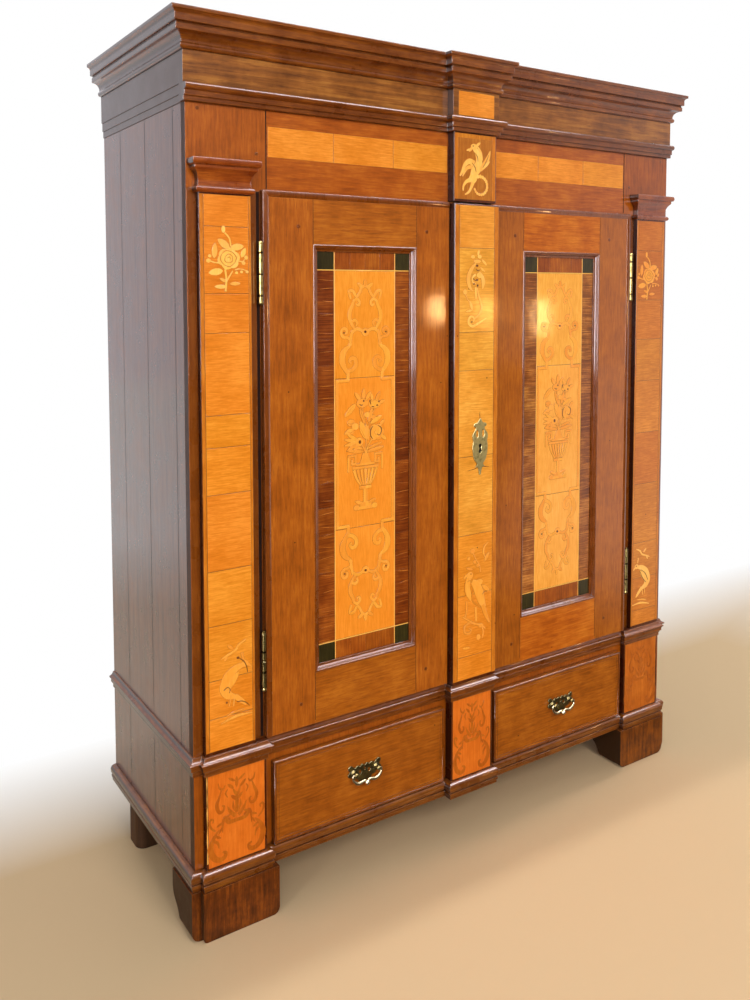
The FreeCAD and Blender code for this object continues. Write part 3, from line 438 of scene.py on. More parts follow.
def worn_metal(name, stain, body, rubbed, rough, knuckle_mm=None):
    """Cast or forged metal, stained in hollows, with rubbed edges and a painted highlight; hinges show
    knuckles.
    """
    material, tree = bare_material(name)
    place = add(tree, "TexCoord", out="Object")
    geometry = add(tree, "NewGeometry", out=None)
    cast = add(tree, "TexNoise", {"Vector": place, "Scale": 1 / (CAST_MM * MM), "Detail": 3.0})
    colour = add(tree, "ValToRGB", {0: cast}, ramp=[(0.2, stain), (0.5, body)])
    soft_arris = add(tree, "Bevel", {"Radius": SOFT_EDGE_MM * MM}, samples=SOFT_SAMPLES)
    turned = add(tree, "VectorMath", {0: soft_arris, 1: geometry["Normal"]}, operation="DOT_PRODUCT",
                 out="Value")
    # edges rubbed bright: real wear, and a painted highlight
    edge = add(tree, "MapRange", {"Value": turned, "From Min": 0.99, "From Max": 0.8})
    colour = add(tree, "Mix", {0: edge, 6: colour, 7: linear(rubbed)}, data_type="RGBA", out=2)
    nook = add(tree, "AmbientOcclusion", {"Distance": HOLLOW_MM * MM}, samples=SOFT_SAMPLES, out="AO")
    dull = add(tree, "MapRange", {"Value": nook, "From Min": 0.85, "From Max": 0.3, "To Max": 0.85})
    if knuckle_mm:
        level = add(tree, "SeparateXYZ", {0: place}, out="Z")
        turn = add(tree, "Math", {0: level, 1: knuckle_mm * MM}, operation="FLOORED_MODULO")
        joint = add(tree, "MapRange",
                    {"Value": turn, "From Min": KNUCKLE_GAP_MM * MM, "From Max": KNUCKLE_LINE_MM * MM})
        dull = add(tree, "Math", {0: dull, 1: joint}, operation="MAXIMUM")
    colour = add(tree, "Mix", {0: dull, 6: colour, 7: linear(stain)}, data_type="RGBA", out=2)
    sheen = add(tree, "MapRange", {"Value": cast, "From Min": 0.3, "From Max": 0.7, "To Min": rough + 0.12,
                                   "To Max": rough - 0.06})
    bump = add(tree, "Bump",
               {"Height": cast, "Normal": soft_arris, "Strength": 0.3, "Distance": CAST_RELIEF_MM * MM})
    skin = add(tree, "BsdfPrincipled",
               {"Base Color": colour, "Metallic": 1.0, "Roughness": sheen, "Normal": bump})
    add(tree, "OutputMaterial", {"Surface": skin}, out=None)
    return material


print("cast grain:", CAST_MM, "mm")

# %% The metals of the cupboard
# cast brass, tarnished: olive with pale rubbed edges that carry a painted highlight
tarnished_brass = worn_metal("tarnished_cast_brass", "#7C7444", "#C0B278", "#ECDFAE", 0.45)
# handle plates: seldom rubbed, so nearly black between grey edges that carry a painted highlight
smoked_brass = worn_metal("smoked_cast_brass", "#3A3220", "#70643F", "#B4A886", 0.42)
# the bails, rubbed by every hand that pulls: pale and smooth
rubbed_brass = worn_metal("rubbed_cast_brass", "#6E6448", "#B4A988", "#E4DAC0", 0.32)
# drawn brass of the hinge barrels: smooth, with a dark line at every knuckle
hinge_brass = worn_metal("drawn_hinge_brass", "#33260F", "#A8935A", "#EADBA6", 0.3, knuckle_mm=47.0)
# forged iron: scaled black
black_iron = worn_metal("forged_black_iron", "#16120F", "#332D29", "#6A625C", 0.48)
print("metals:", [m.name for m in (tarnished_brass, smoked_brass, rubbed_brass, hinge_brass, black_iron)])

# %% [markdown]
# ## Finishes on the solids
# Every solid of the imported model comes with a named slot. A finish could be given node by node. Here the
# slot picks it, as one stain pot serves many boards, and only the few boards that differ from their kind are
# named.

# %% Give every node its finish
FINISH = {"frame_upright": walnut_upright, "frame_level": walnut_level, "dark_moulding": dark_moulding,
          "door_moulding": maroon_bead, "light_pilaster": maroon_bead, "light_panel": maroon_bead,
          "block_veneer": maroon_bead, "side_wood": side_planks, "foot_wood": foot_walnut,
          "inside_wood": planed_deal, "aged_brass": tarnished_brass, "pale_brass": hinge_brass,
          "black_iron": black_iron}
ALONE = {"cornice_frieze_boards": smoked_walnut, "case_front_rails": walnut_frieze,
         "right_door_rails": walnut_amber, "capitals": red_moulding, "rear_feet": shaded_deal}
for side in ("left", "right"):
    ALONE[f"{side}_door_panel_moulding"] = brown_bead
    ALONE[f"{side}_door_edge_bead"] = brown_bead
    ALONE[f"{side}_drawer_front"] = walnut_drawer
for name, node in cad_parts.items():
    for slot in node.material_slots:
        slot.material = ALONE.get(name, FINISH[slot.material.name.split(".")[0]])
print("finishes by slot:", len(FINISH), "and by node:", len(ALONE))

# %% [markdown]
# ## Sawn veneer
# The pale fields are leaves of maple and fruit wood under a millimetre thick, sawn, glued to the carcass and
# cut to meet at knife-thin seams. They could be painted on the boards. Real thin plates are laid instead, so
# a seam is a true dark gap, each leaf takes its own tone, and the plates ride on the doors.

# %% The veneer woods
def veneer(name, deep, mid, bright, along, specks=0.97, **more):
    """A sawn leaf under a thinner polish, each leaf with a tone of its own."""
    return polished_wood(name, deep, mid, bright, along, coat=0.6, leaves=True, specks=specks, **more)


# figured maple, aged to amber: fine level streaks and cloudy gold
amber_maple = veneer("polished_amber_maple", "#D47812", "#E88C24", "#FAA43A", "x", streak_mm=2.8,
                     cloud_mm=110.0, worn="#F0B460", shade="#EEDDCA", specks=0.75)
# the middle of the lock strip: fiddle-back maple, yellower, with light and dark bars across it
fiddleback = veneer("polished_fiddleback_maple", "#CE8420", "#E89C34", "#F8B64E", "x", streak_mm=4.0,
                    cloud_mm=80.0, worn="#F0B460", shade="#F2E2CE", specks=0.75)
# the right pilaster: the same veneer, browner
brown_maple = veneer("polished_brown_maple", "#B86612", "#CE7A22", "#E49236", "x", streak_mm=2.8,
                     cloud_mm=90.0, worn="#E8AC5C", shade="#E4D0BC", specks=0.75)
# the door leaves: the same maple with its grain upright, a little redder
door_maple = veneer("polished_door_maple", "#E4841A", "#F09228", "#FAA23A", "z", streak_mm=2.6,
                    cloud_mm=160.0, worn="#F0B460", shade="#F6EEE6")
# the right-hand door: a yellower plank of it
yellow_maple = veneer("polished_yellow_maple", "#E8982E", "#F6AA42", "#FFBC5A", "z", streak_mm=2.6,
                      cloud_mm=120.0, worn="#F0B460", shade="#F2E6DA")
# fruit wood on the base blocks: burnt orange
orange_pear = veneer("polished_orange_pear", "#CA6210", "#DA701A", "#E67E24", "z", streak_mm=5.0,
                     worn="#F0B070", shade="#F0E6DC")
# the right-hand block has lost its red: the same pear, browner
brown_pear = veneer("polished_brown_pear", "#A8540E", "#BE661A", "#D07828", "z", streak_mm=9.0,
                    cloud_mm=40.0, worn="#E0A060")
# border leaves: between the dark frame and the pale field
honey_border = veneer("polished_honey_border", "#AE5C0E", "#C87418", "#DA8826", "z", worn="#E0A050",
                      specks=0.6)
# the frieze band: the same maple, a shade deeper
gold_maple = veneer("polished_gold_maple", "#CE7614", "#E08824", "#F29C38", "x", streak_mm=2.8,
                    cloud_mm=70.0, worn="#F0B460", shade="#EEE0D0", specks=0.9)
# ground of the beast: brown gold
gold_ground = veneer("polished_gold_ground", "#985210", "#AE661A", "#C27C28", "z", worn="#E0A050",
                     specks=0.9)
# cross-cut walnut banding: short dark leaves with fine fiery streaks across the band
band_across = veneer("crosscut_walnut_across", "#602606", "#8A4008", "#B4641C", "x", streak_mm=2.4,
                     cloud_mm=60.0, stretch=0.03, shade="#BEAC9C")
band_upright = veneer("crosscut_walnut_upright", "#7A3408", "#A0500E", "#BE6C1C", "z", streak_mm=2.4,
                      cloud_mm=60.0, stretch=0.03, shade="#C8B8A8")
# the right-hand door: the same banding from a paler plank
band_pale = veneer("crosscut_walnut_pale", "#5E2C08", "#985418", "#DC9446", "x", streak_mm=2.4,
                   cloud_mm=60.0, stretch=0.03, shade="#C8B4A0")
# corner squares: oak stained olive black
black_oak = veneer("stained_black_oak", "#221D08", "#342C10", "#443A16", "z", worn="#5A4C28", specks=0.99)
# stringing and flowers: box wood, the palest of all
pale_box = veneer("inlaid_box_wood", "#F8B04C", "#FFC05A", "#FFCC70", "z", cloud_mm=50.0, worn="#FFC870",
                  shade="#F4E8DA", specks=0.99)
# the same leaf shaded in hot sand: only a touch paler than its ground
sand_maple = veneer("sand_shaded_maple", "#F09C30", "#F8A63C", "#FEB04A", "z", cloud_mm=40.0, worn="#FFC070",
                    shade="#F4E8DA", specks=0.99)
# the rim of a figure, browned in the sand
sand_rim = veneer("sand_browned_rim", "#D67C1A", "#E08A22", "#E8942C", "z", worn="#E08A22", specks=0.99)
# scorched lines: walnut burnt nearly black
scorched_walnut = polished_wood("scorched_walnut_line", "#4A1E06", "#6A320C", "#864614", "z", leaves=True,
                                specks=0.99)
# dirt that has filled a joint, black and dull; also the painted shadow in the gap by each door
joint_dirt_and_gap_shadow = polished_wood("dirt_filled_joint", "#160803", "#1E0C05", "#2A1208", "z", rough=0.7, coat=0.0,
                     leaves=True, specks=0.99)
# the base scrolls: brown fruit wood, and one that is rubbed away until it hardly shows
worn_scroll = veneer("worn_brown_scroll", "#A4540E", "#B66018", "#C87024", "z", cloud_mm=25.0,
                     worn="#B66018", specks=0.99)
brown_scroll = veneer("inlaid_brown_scroll", "#AA540C", "#BE6412", "#CC721A", "z", cloud_mm=25.0,
                      worn="#C46814", shade="#F0E6DC", specks=0.99)
print("woods with veneers:", len([m for m in bpy.data.materials if m.use_nodes]))

# %% [markdown]
# ## Saw and glue
# A fret saw leaves a strip of wood between two edges. So every shape here is a list of edge points in pairs:
# straight leaves, bands along a smooth line, pointed leaves and discs. Bevelled curves could do it too, but
# pairs of points make closed flat plates with few faces, and the same pairs can be mirrored or widened.

# %% Saw shapes from flat stock
def rect(x0, x1, z0, z1):
    """A straight leaf between two edges, given in either order."""
    return [(Vector((x, z1)), Vector((x, z0))) for x in sorted((x0, x1))]


def band(points, widths, steps=5):
    """A strip sawn along a smooth line through given points, its width running through the widths."""
    line = []
    knots = [Vector(p) for p in (points[0], *points, points[-1])]
    for a, b, c, d in zip(knots, knots[1:], knots[2:], knots[3:]):
        for step in range(steps):
            t = step / steps
            line.append(0.5 * (2 * b + (c - a) * t + (2 * a - 5 * b + 4 * c - d) * t ** 2
                               + (3 * b - a - 3 * c + d) * t ** 3))
    line.append(knots[-1])
    strip = []
    for index, here in enumerate(line):
        along = line[min(index + 1, len(line) - 1)] - line[max(index - 1, 0)]
        across = Vector((-along.y, along.x)).normalized()
        spot = index / (len(line) - 1) * (len(widths) - 1)
        step = min(int(spot), len(widths) - 2)
        wide = widths[step] + (widths[step + 1] - widths[step]) * (spot - step)
        strip.append((here + across * wide / 2, here - across * wide / 2))
    return strip


def leaf(base, tip, wide):
    """A pointed leaf."""
    return band([base, tip], [0.4, 0.8 * wide, wide, 0.7 * wide, 0.3], steps=8)


def disc(centre, wide, high, steps=9):
    """A round or oval leaf, cut in slices from side to side."""
    turns = [math.pi * (step + 0.15) / (steps + 0.3) for step in range(steps + 1)]
    rim = [(wide / 2 * math.cos(turn), high / 2 * math.sin(turn)) for turn in turns]
    return [(Vector((centre[0] + x, centre[1] + z)), Vector((centre[0] + x, centre[1] - z))) for x, z in rim]


def moved(strips, dx=0.0, dz=0.0, flip=1, tip=1):
    """The same cut-outs turned over and set elsewhere."""
    spot = Vector((dx, dz))
    return [[(Vector((flip * a.x, tip * a.y)) + spot, Vector((flip * b.x, tip * b.y)) + spot)
             for a, b in strip] for strip in strips]


def both_sides(strips):
    """Cut-outs and their mirror image about the middle line."""
    return strips + moved(strips, flip=-1)


print("a leaf is cut with", len(leaf((0, 0), (9, 0), 4)), "pairs of points")

# %% Glue the shapes to a front face
# the thickness of a leaf, what lifts one layer over another, how far a plate is sunk, and a seam
LEAF_MM, LAYER_MM, SUNK_MM, SEAM_MM = 0.4, 0.004, 0.2, 0.9


def glue_on(name, strips, face_y, material, body, thick=LEAF_MM):
    """Closed plates cut to the strips' outlines; each lies a hair above the one before it."""
    corners, faces = [], []
    for layer, strip in enumerate(strips):
        first = len(corners)
        front, back = face_y - thick - layer * LAYER_MM, face_y + SUNK_MM
        for left, right in strip:
            corners += [(p.x * MM, y * MM, p.y * MM) for y in (front, back) for p in (left, right)]
        for a in range(first, len(corners) - 4, 4):
            faces += [
                (a, a + 1, a + 5, a + 4), (a + 2, a + 6, a + 7, a + 3), (a, a + 4, a + 6, a + 2),
                (a + 1, a + 3, a + 7, a + 5)]
        last = len(corners) - 4
        faces += [(first, first + 2, first + 3, first + 1), (last, last + 1, last + 3, last + 2)]
    mesh = bpy.data.meshes.new(name)
    mesh.from_pydata(corners, [], faces)
    return finish_piece(name, mesh, material, body)


def finish_piece(name, mesh, material, body):
    """Turn all faces outward, give the mesh its finish and let it ride on a body."""
    work = bmesh.new()
    work.from_mesh(mesh)
    bmesh.ops.recalc_face_normals(work, faces=work.faces)
    work.to_mesh(mesh)
    work.free()
    mesh.materials.append(material)
    piece = bpy.data.objects.new(name, mesh)
    bpy.context.scene.collection.objects.link(piece)
    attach(piece, body)
    return piece


def mm_box(node):
    """Lowest and highest corner of a node in millimetres."""
    low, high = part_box(node)
    return low / MM, high / MM


def stacked(x0, x1, cuts):
    """Leaves one above the other between seams."""
    return [rect(x0, x1, low + SEAM_MM / 2, high - SEAM_MM / 2) for low, high in zip(cuts, cuts[1:])]


print("veneer:", LEAF_MM, "mm thick, seams:", SEAM_MM, "mm")

# %% [markdown]
# ## Pilasters and lock strip
# Each pilaster is a dark board faced with amber maple laid crosswise, so the streaks run level and every
# leaf is only as tall as the plank was wide. A narrow honey border runs up its edges. The strip that covers
# the meeting of the doors is faced the same way.

# %% Face the pilasters and the lock strip
PILASTER_CUTS = {"left": [417, 490, 575, 696, 817, 984, 1086, 1156, 1333, 1417, 1560, 1627],
                 "right": [417, 462, 560, 668, 846, 1001, 1156, 1279, 1395, 1540, 1627]}
STRIP_CUTS = [419, 479, 640, 797, 1000, 1221, 1318, 1530, 1637]
STRIP_CHANGE = 797
BORDER_OUT, BORDER_IN, ARRIS_SHOW, INNER_SHOW = 11.0, 7.0, 2.0, 0.8
for side, way in (("left", -1), ("right", 1)):
    low, high = mm_box("pilaster_" + side)
    face = low.y
    inner, outer = sorted((abs(low.x), abs(high.x)))
    cuts = PILASTER_CUTS[side]
    field = [way * (inner + BORDER_IN), way * (outer - BORDER_OUT)]
    wood = amber_maple if side == "left" else brown_maple
    glue_on(f"pilaster_veneer_{side}", stacked(*field, cuts), face, wood, "case")
    edges = [
        [way * (outer - BORDER_OUT + SEAM_MM), way * (outer - ARRIS_SHOW)],
        [way * (inner + INNER_SHOW), way * (inner + BORDER_IN - SEAM_MM / 2)]]
    glue_on(f"pilaster_border_{side}", [rect(*edge, cuts[0], cuts[-1]) for edge in edges], face,
            honey_border, "case")
low, high = mm_box("lock_strip")
STRIP_FACE, STRIP_EDGE = low.y, 16.0
for name, wood, cuts in (("lower", amber_maple, [z for z in STRIP_CUTS if z <= STRIP_CHANGE]),
                         ("upper", fiddleback, [z for z in STRIP_CUTS if z >= STRIP_CHANGE])):
    glue_on(f"lock_strip_veneer_{name}", stacked(low.x + STRIP_EDGE, high.x - STRIP_EDGE, cuts), STRIP_FACE,
            wood, "right_door")
edges = [
    (low.x + ARRIS_SHOW, low.x + STRIP_EDGE - SEAM_MM), (high.x - STRIP_EDGE + SEAM_MM, high.x - ARRIS_SHOW)]
glue_on("lock_strip_border", [rect(*edge, STRIP_CUTS[0], STRIP_CUTS[-1]) for edge in edges], STRIP_FACE,
        honey_border, "right_door")
print("pilaster leaves:", sum(len(cuts) - 1 for cuts in PILASTER_CUTS.values()))

# %% [markdown]
# ## Dark strips
# Beside each pilaster the stile shows as a dark stained strip, and the gap by the door is a black strip of
# painted shadow. To stain part of a board, its shader would need a mask. A thin strip laid on the board
# looks the same and keeps a clean edge.

# %% Darken the strips beside the pilasters
STRIP_MM = 0.2
low, high = mm_box("front_stile_left")
STILE_FACE, STILE_OUT = low.y, abs(low.x)
STILE_Z, PILASTER_SIDES, DOOR_SIDE = (412, 1640), (750.0, 624.0), (607.0, 599.0)
strips, gap_shadows = [], []
for way in (-1, 1):
    for near, far in ((STILE_OUT - 1, PILASTER_SIDES[0]), (PILASTER_SIDES[1], DOOR_SIDE[0])):
        strips.append(rect(way * near, way * far, *STILE_Z))
    gap_shadows.append(rect(way * DOOR_SIDE[0], way * DOOR_SIDE[1], *STILE_Z))
glue_on("stile_dark_strips", strips, STILE_FACE, brown_bead, "case", thick=STRIP_MM)
# painted shadow: a black strip where the gap by each door falls in shade
glue_on("stile_dirt_by_doors", gap_shadows, STILE_FACE, joint_dirt_and_gap_shadow, "case", thick=STRIP_MM)
print("dark strips:", len(strips), "and gaps:", len(gap_shadows))

# %% [markdown]
# ## Frieze, cornice break and base blocks
# Above the doors runs a plain pale band between brown borders. The block over the middle carries a framed
# field, the cornice above it a small pale panel, and the three base blocks are faced with burnt-orange pear.

# %% Face the frieze and the blocks
SKIN_MM = 0.1
low, high = mm_box("case_front_rails")
FRIEZE_FACE = low.y
FRIEZE_BAND, FRIEZE_SEAM = (1717.0, 1783.0), 0.6
LEFT_SEAMS, RIGHT_SEAMS = [-577, -407, -238, -72], [76, 240, 412, 577]
for side, seams in (("left", LEFT_SEAMS), ("right", RIGHT_SEAMS)):
    leaves = [rect(a + FRIEZE_SEAM, b - FRIEZE_SEAM, *FRIEZE_BAND) for a, b in zip(seams, seams[1:])]
    glue_on(f"frieze_band_{side}", leaves, FRIEZE_FACE, gold_maple, "case")
low, high = mm_box("centre_frieze_block")
BLOCK_FACE, BLOCK_EDGE, BLOCK_FOOT, BLOCK_HEAD, FRAME_WIDE = low.y, 2.0, 6.0, 3.0, 11.0
x0, x1, z0, z1 = low.x + BLOCK_EDGE, high.x - BLOCK_EDGE, low.z + BLOCK_FOOT, high.z - BLOCK_HEAD
glue_on("frieze_block_field", [rect(x0, x1, z0, z1)], BLOCK_FACE, gold_ground, "case")
i0, i1, k1 = x0 + FRAME_WIDE, x1 - FRAME_WIDE, z1 - FRAME_WIDE
glue_on("frieze_block_frame", [rect(x0, i0, z0, z1), rect(i1, x1, z0, z1), rect(i0, i1, k1, z1)],
        BLOCK_FACE - LEAF_MM, honey_border, "case", thick=SKIN_MM)
low, high = mm_box("cornice_frieze_boards")
BREAK_PANEL = (-58, 58, 1858, 1917)
glue_on("cornice_break_panel", [rect(*BREAK_PANEL)], low.y, gold_maple, "case")
SIDE_BLOCK_WIDE, VENEER_INSET, BASE_FOOT, BASE_HEAD = 148.0, 5.0, 156, 365
middle_low, middle_high = mm_box("base_centre_block")
low, high = mm_box("base_side_blocks")
for name, a, b, face, wood in (("left", low.x, low.x + SIDE_BLOCK_WIDE, low.y, orange_pear),
                               ("centre", middle_low.x, middle_high.x, middle_low.y, orange_pear),
                               ("right", high.x - SIDE_BLOCK_WIDE, high.x, low.y, brown_pear)):
    glue_on(f"base_veneer_{name}", [rect(a + VENEER_INSET, b - VENEER_INSET, BASE_FOOT, BASE_HEAD)], face,
            wood, "case")
print("frieze leaves:", len(LEFT_SEAMS) + len(RIGHT_SEAMS) - 2)

# %% [markdown]
# ## Door panels
# Each panel has one tall pale leaf in three lengths, a fine pale string round it, dark banding whose grain
# runs across the band, and a black square in each corner. The banding is laid in short leaves, so its
# streaks change every hand's breadth.

# %% Lay the door panels
PANEL = {"left": -321.0, "right": 326.0}
HALF_FIELD, HALF_LEAF, STRING_MM = 134.0, 85.0, 2.2
PANEL_CUTS, FIELD_Z = [594.0, 858.0, 1217.0, 1470.0], (548.0, 1514.0)
STREAKS, SIDE_LEAVES, END_LEAVES, KNIFE_MM, FILM_MM = 26, 11, 4, 0.15, 0.05
panel_face = mm_box("left_door_panel")[0].y
for side, axis in PANEL.items():
    body = side + "_door"
    z0, z1 = PANEL_CUTS[0], PANEL_CUTS[-1]
    glue_on(f"{side}_panel_leaf", stacked(axis - HALF_LEAF, axis + HALF_LEAF, PANEL_CUTS), panel_face,
            door_maple if side == "left" else yellow_maple, body)
    strings = []
    for way in (-1, 1):
        edge = axis + way * (HALF_LEAF + STRING_MM / 2)
        strings.append(rect(edge - STRING_MM / 2, edge + STRING_MM / 2, *FIELD_Z))
    for level in (z0 - STRING_MM / 2, z1 + STRING_MM / 2):
        strings.append(rect(axis - HALF_FIELD, axis + HALF_FIELD, level - STRING_MM / 2,
                            level + STRING_MM / 2))
    glue_on(f"{side}_panel_string", strings, panel_face, pale_box, body,
            thick=LEAF_MM + FILM_MM)
    squares, across, upright, streaks = [], [], [], []
    for way in (-1, 1):
        near, far = axis + way * (HALF_LEAF + STRING_MM), axis + way * HALF_FIELD
        a, b = sorted((near, far))
        squares += [rect(a, b, FIELD_Z[0], z0 - STRING_MM), rect(a, b, z1 + STRING_MM, FIELD_Z[1])]
        marks = [
            z0 + (z1 - z0) * (k + 0.25 * math.sin(5.0 * k + way)) / SIDE_LEAVES
            for k in range(SIDE_LEAVES + 1)]
        marks[0], marks[-1] = z0, z1
        across += [rect(a, b, p + KNIFE_MM, q - KNIFE_MM) for p, q in zip(marks, marks[1:])]
        # sapwood runs through the dark leaves as thin fiery lines, no two alike
        for k in range(STREAKS):
            level = z0 + (z1 - z0) * (k + 0.5 + 0.45 * math.sin(7.0 * k + 2.0 * way)) / STREAKS
            lean, from_x = 4.0 * math.sin(3.0 * k + axis), a + 1 + 14.0 * (1 + math.sin(11.0 * k)) / 2
            wide = 0.7 + 0.5 * math.sin(5.0 * k)
            line = [(from_x, level), ((from_x + b) / 2, level + lean * 0.7), (b - 0.5, level + lean)]
            streaks.append(band(line, [0.2, wide + 0.6, 0.3], steps=3))
    for p, q in ((FIELD_Z[0], z0 - STRING_MM), (z1 + STRING_MM, FIELD_Z[1])):
        steps = [axis - HALF_LEAF + 2 * HALF_LEAF * k / END_LEAVES for k in range(END_LEAVES + 1)]
        upright += [rect(a + KNIFE_MM, b - KNIFE_MM, p, q) for a, b in zip(steps, steps[1:])]
    glue_on(f"{side}_panel_squares", squares, panel_face, black_oak, body)
    glue_on(f"{side}_panel_side_banding", across, panel_face, band_across if side == "left" else band_pale,
            body)
    glue_on(f"{side}_panel_sap_streaks", streaks, panel_face - LEAF_MM, honey_border, body,
            thick=FILM_MM)
    glue_on(f"{side}_panel_end_banding", upright, panel_face, band_upright, body)
print("panel fields:", len(PANEL))

# %% [markdown]
# ## Inlaid figures
# Flowers, scrolls, birds and a winged beast are fret-sawn from pale box wood and let into the veneer. They
# could be drawn as lines in a shader; each is sawn as a thin leaf instead, from a short list of bands,
# leaves and discs, so the figure stays crisp from close by. Only a few points are given, and a smooth line
# is run through them.

# %% Let in a figure
# how far a rim shows, and how thick cut-outs and lines are, so that a line lies over every cut-out
RIM_MM, CUT_MM, LINE_MM, DARK_MM = 0.9, 0.35, 1.0, 1.1


def widened(strips, more):
    """The same cut-outs, wider by a rim on both sides."""
    return [[(a + (a - b).normalized() * more, b - (a - b).normalized() * more) for a, b in strip]
            for strip in strips]


def let_in(name, ground, body, pale=(), sand=(), line=(), dark=()):
    """Browned rims, pale or sand-shaded cut-outs and scorched lines of one figure, set into veneer."""
    rims = widened([*pale, *sand], RIM_MM)
    for tone, strips, material, thick in (("rim", rims, sand_rim, FILM_MM),
                                          ("sand", sand, sand_maple, CUT_MM),
                                          ("pale", pale, pale_box, CUT_MM),
                                          ("line", line, sand_rim, LINE_MM),
                                          ("dark", dark, scorched_walnut, DARK_MM)):
        if strips:
            glue_on(f"{name}_{tone}", list(strips), ground - LEAF_MM, material, body, thick=thick)


print("rim:", RIM_MM, "mm, cut-outs:", CUT_MM, "mm, lines:", LINE_MM, "mm")

# %% Rose sprays at the heads of the pilasters
def rose_spray():
    """A full rose with buds, berries and leaves, about its own centre."""
    turns = [math.radians(60 * k + 15) for k in range(6)]
    pale = [disc((14 * math.cos(t), 12 * math.sin(t)), 26, 24) for t in turns] + [disc((0, 0), 36, 32)]
    pale += [
        leaf((2, 22), (-25, 41), 16), leaf((4, 23), (36, 27), 15), leaf((-34, 0), (-31, 33), 13),
        leaf((30, 3), (40, 24), 11), leaf((-14, -26), (-47, -31), 15), leaf((-6, -60), (-34, -60), 9),
        leaf((2, -54), (27, -53), 8), leaf((-4, -50), (-22, -42), 7)]
    pale += [
        band([(5, 26), (2, 43), (-9, 55)], [3.4, 3, 3]), disc((-12, 62), 9, 15),
        band([(-9, -22), (-6, -44), (-8, -70)], [4, 4.4, 4]),
        band([(9, -26), (0, -40), (-6, -50)], [3, 3, 3]),
        band([(-22, -10), (-36, -8), (-46, -4)], [3, 2.4, 2.4]), disc((-47, -5), 11, 9),
        disc((-44, 5), 8, 7), band([(22, -4), (32, -6), (40, 2)], [3, 2.4, 2]), disc((41, 3), 9, 9),
        disc((35, -9), 9, 8), band([(14, -24), (28, -22), (43, -26)], [2.4, 2, 2]), disc((18, -30), 7, 6),
        disc((30, -28), 7, 6), disc((43, -28), 8, 6)]
    petals = [
        [(-17, 9), (-6, 17), (9, 14)], [(9, 14), (18, 3), (14, -9)], [(14, -9), (2, -17), (-11, -13)],
        [(-11, -13), (-19, -3), (-17, 9)], [(-8, 4), (0, 10), (9, 5)], [(9, 5), (8, -6), (-1, -9)],
        [(-1, -9), (-9, -5), (-8, 4)], [(-3, 1), (2, 4), (4, -2)]]
    dark = [band(petal, [0.5, 1.5, 0.5]) for petal in petals]
    return pale, dark


spray, spray_lines = rose_spray()
PILASTER_FACE = mm_box("pilaster_left")[0].y
LEFT_ROSE, RIGHT_ROSE = (-680, 1492), (681, 1466)
let_in("rose_spray_left", PILASTER_FACE, "case", pale=moved(spray, *LEFT_ROSE),
       line=moved(spray_lines, *LEFT_ROSE))
let_in("rose_spray_right", PILASTER_FACE, "case", sand=moved(spray, *RIGHT_ROSE),
       line=moved(spray_lines, *RIGHT_ROSE))
print("rose spray:", len(spray), "leaves of box wood")

# %% [markdown]
# ## Birds
# A bird on a mound stands at the foot of each pilaster. The right-hand one is pale and clearly lined; the
# left-hand one is the same pattern turned over, shaded in sand and worn. So one set of cut-outs serves both.

# %% Birds at the feet of the pilasters
def perched_bird():
    """A bird on a mound, looking left, with a twig above it."""
    body = [
        band([(-24, 38), (-5, 33), (12, 18), (20, -5), (12, -22), (-6, -30)], [9, 16, 24, 26, 18, 8]),
        disc((-29, 40), 17, 15), leaf((-33, 40), (-45, 30), 6),
        band([(-4, -28), (-20, -42), (-31, -54)], [12, 10, 3]), leaf((-14, 26), (16, -14), 13)]
    twigs = [
        band([(-32, 94), (-15, 86), (-6, 75), (15, 67), (29, 62)], [2, 5, 5, 5, 2]),
        leaf((0, 80), (13, 90), 7), band([(-22, 66), (-25, 50)], [6, 4]), leaf((14, 68), (20, 56), 6),
        band([(-3, -26), (0, -50)], [3, 2.4]), band([(6, -24), (10, -48)], [3, 2.4]),
        band([(-46, -76), (-8, -74), (30, -83)], [1.5, 6, 1.5]),
        band([(-26, -62), (-4, -64), (16, -68)], [1.5, 5, 1.5])]
    lines = [
        disc((-31, 42), 3.4, 3.4), band([(-14, 24), (-2, 2), (14, -14)], [0.7, 1.6, 0.7]),
        band([(-10, 28), (10, 14), (22, -8)], [0.7, 1.6, 0.7])]
    return body, twigs, lines


LEFT_BIRD, RIGHT_BIRD = (-680, 558), (678, 556)
bird, twigs, bird_lines = perched_bird()
let_in("bird_right", PILASTER_FACE, "case", pale=moved(bird + twigs, *RIGHT_BIRD),
       dark=moved(bird_lines, *RIGHT_BIRD))
# the left-hand bird has lost its lines but for a few scorched marks
marks = [
    disc((-668, 615), 6, 5),
    band([(-666, 614), (-654, 604), (-647, 590), (-645, 577)], [0.6, 1.8, 1.2, 0.6]),
    band([(-703, 549), (-694, 554), (-688, 548), (-690, 540)], [1.6, 1.2, 1.2, 0.6]),
    disc((-696, 520), 4, 4),
    band([(-672, 516), (-660, 515), (-648, 508), (-641, 500)], [0.6, 1.4, 1.2, 0.6])]
let_in("bird_left", PILASTER_FACE, "case", sand=moved(bird + twigs, *LEFT_BIRD, flip=-1),
       dark=marks)
print("bird:", len(bird), "leaves, twigs:", len(twigs))

# %% [markdown]
# ## Lock strip figures
# The strip between the doors has two tall figures: above the key plate a scrolling spray, below it a
# long-tailed bird under flowering twigs. They ride on the right-hand door, with the strip.

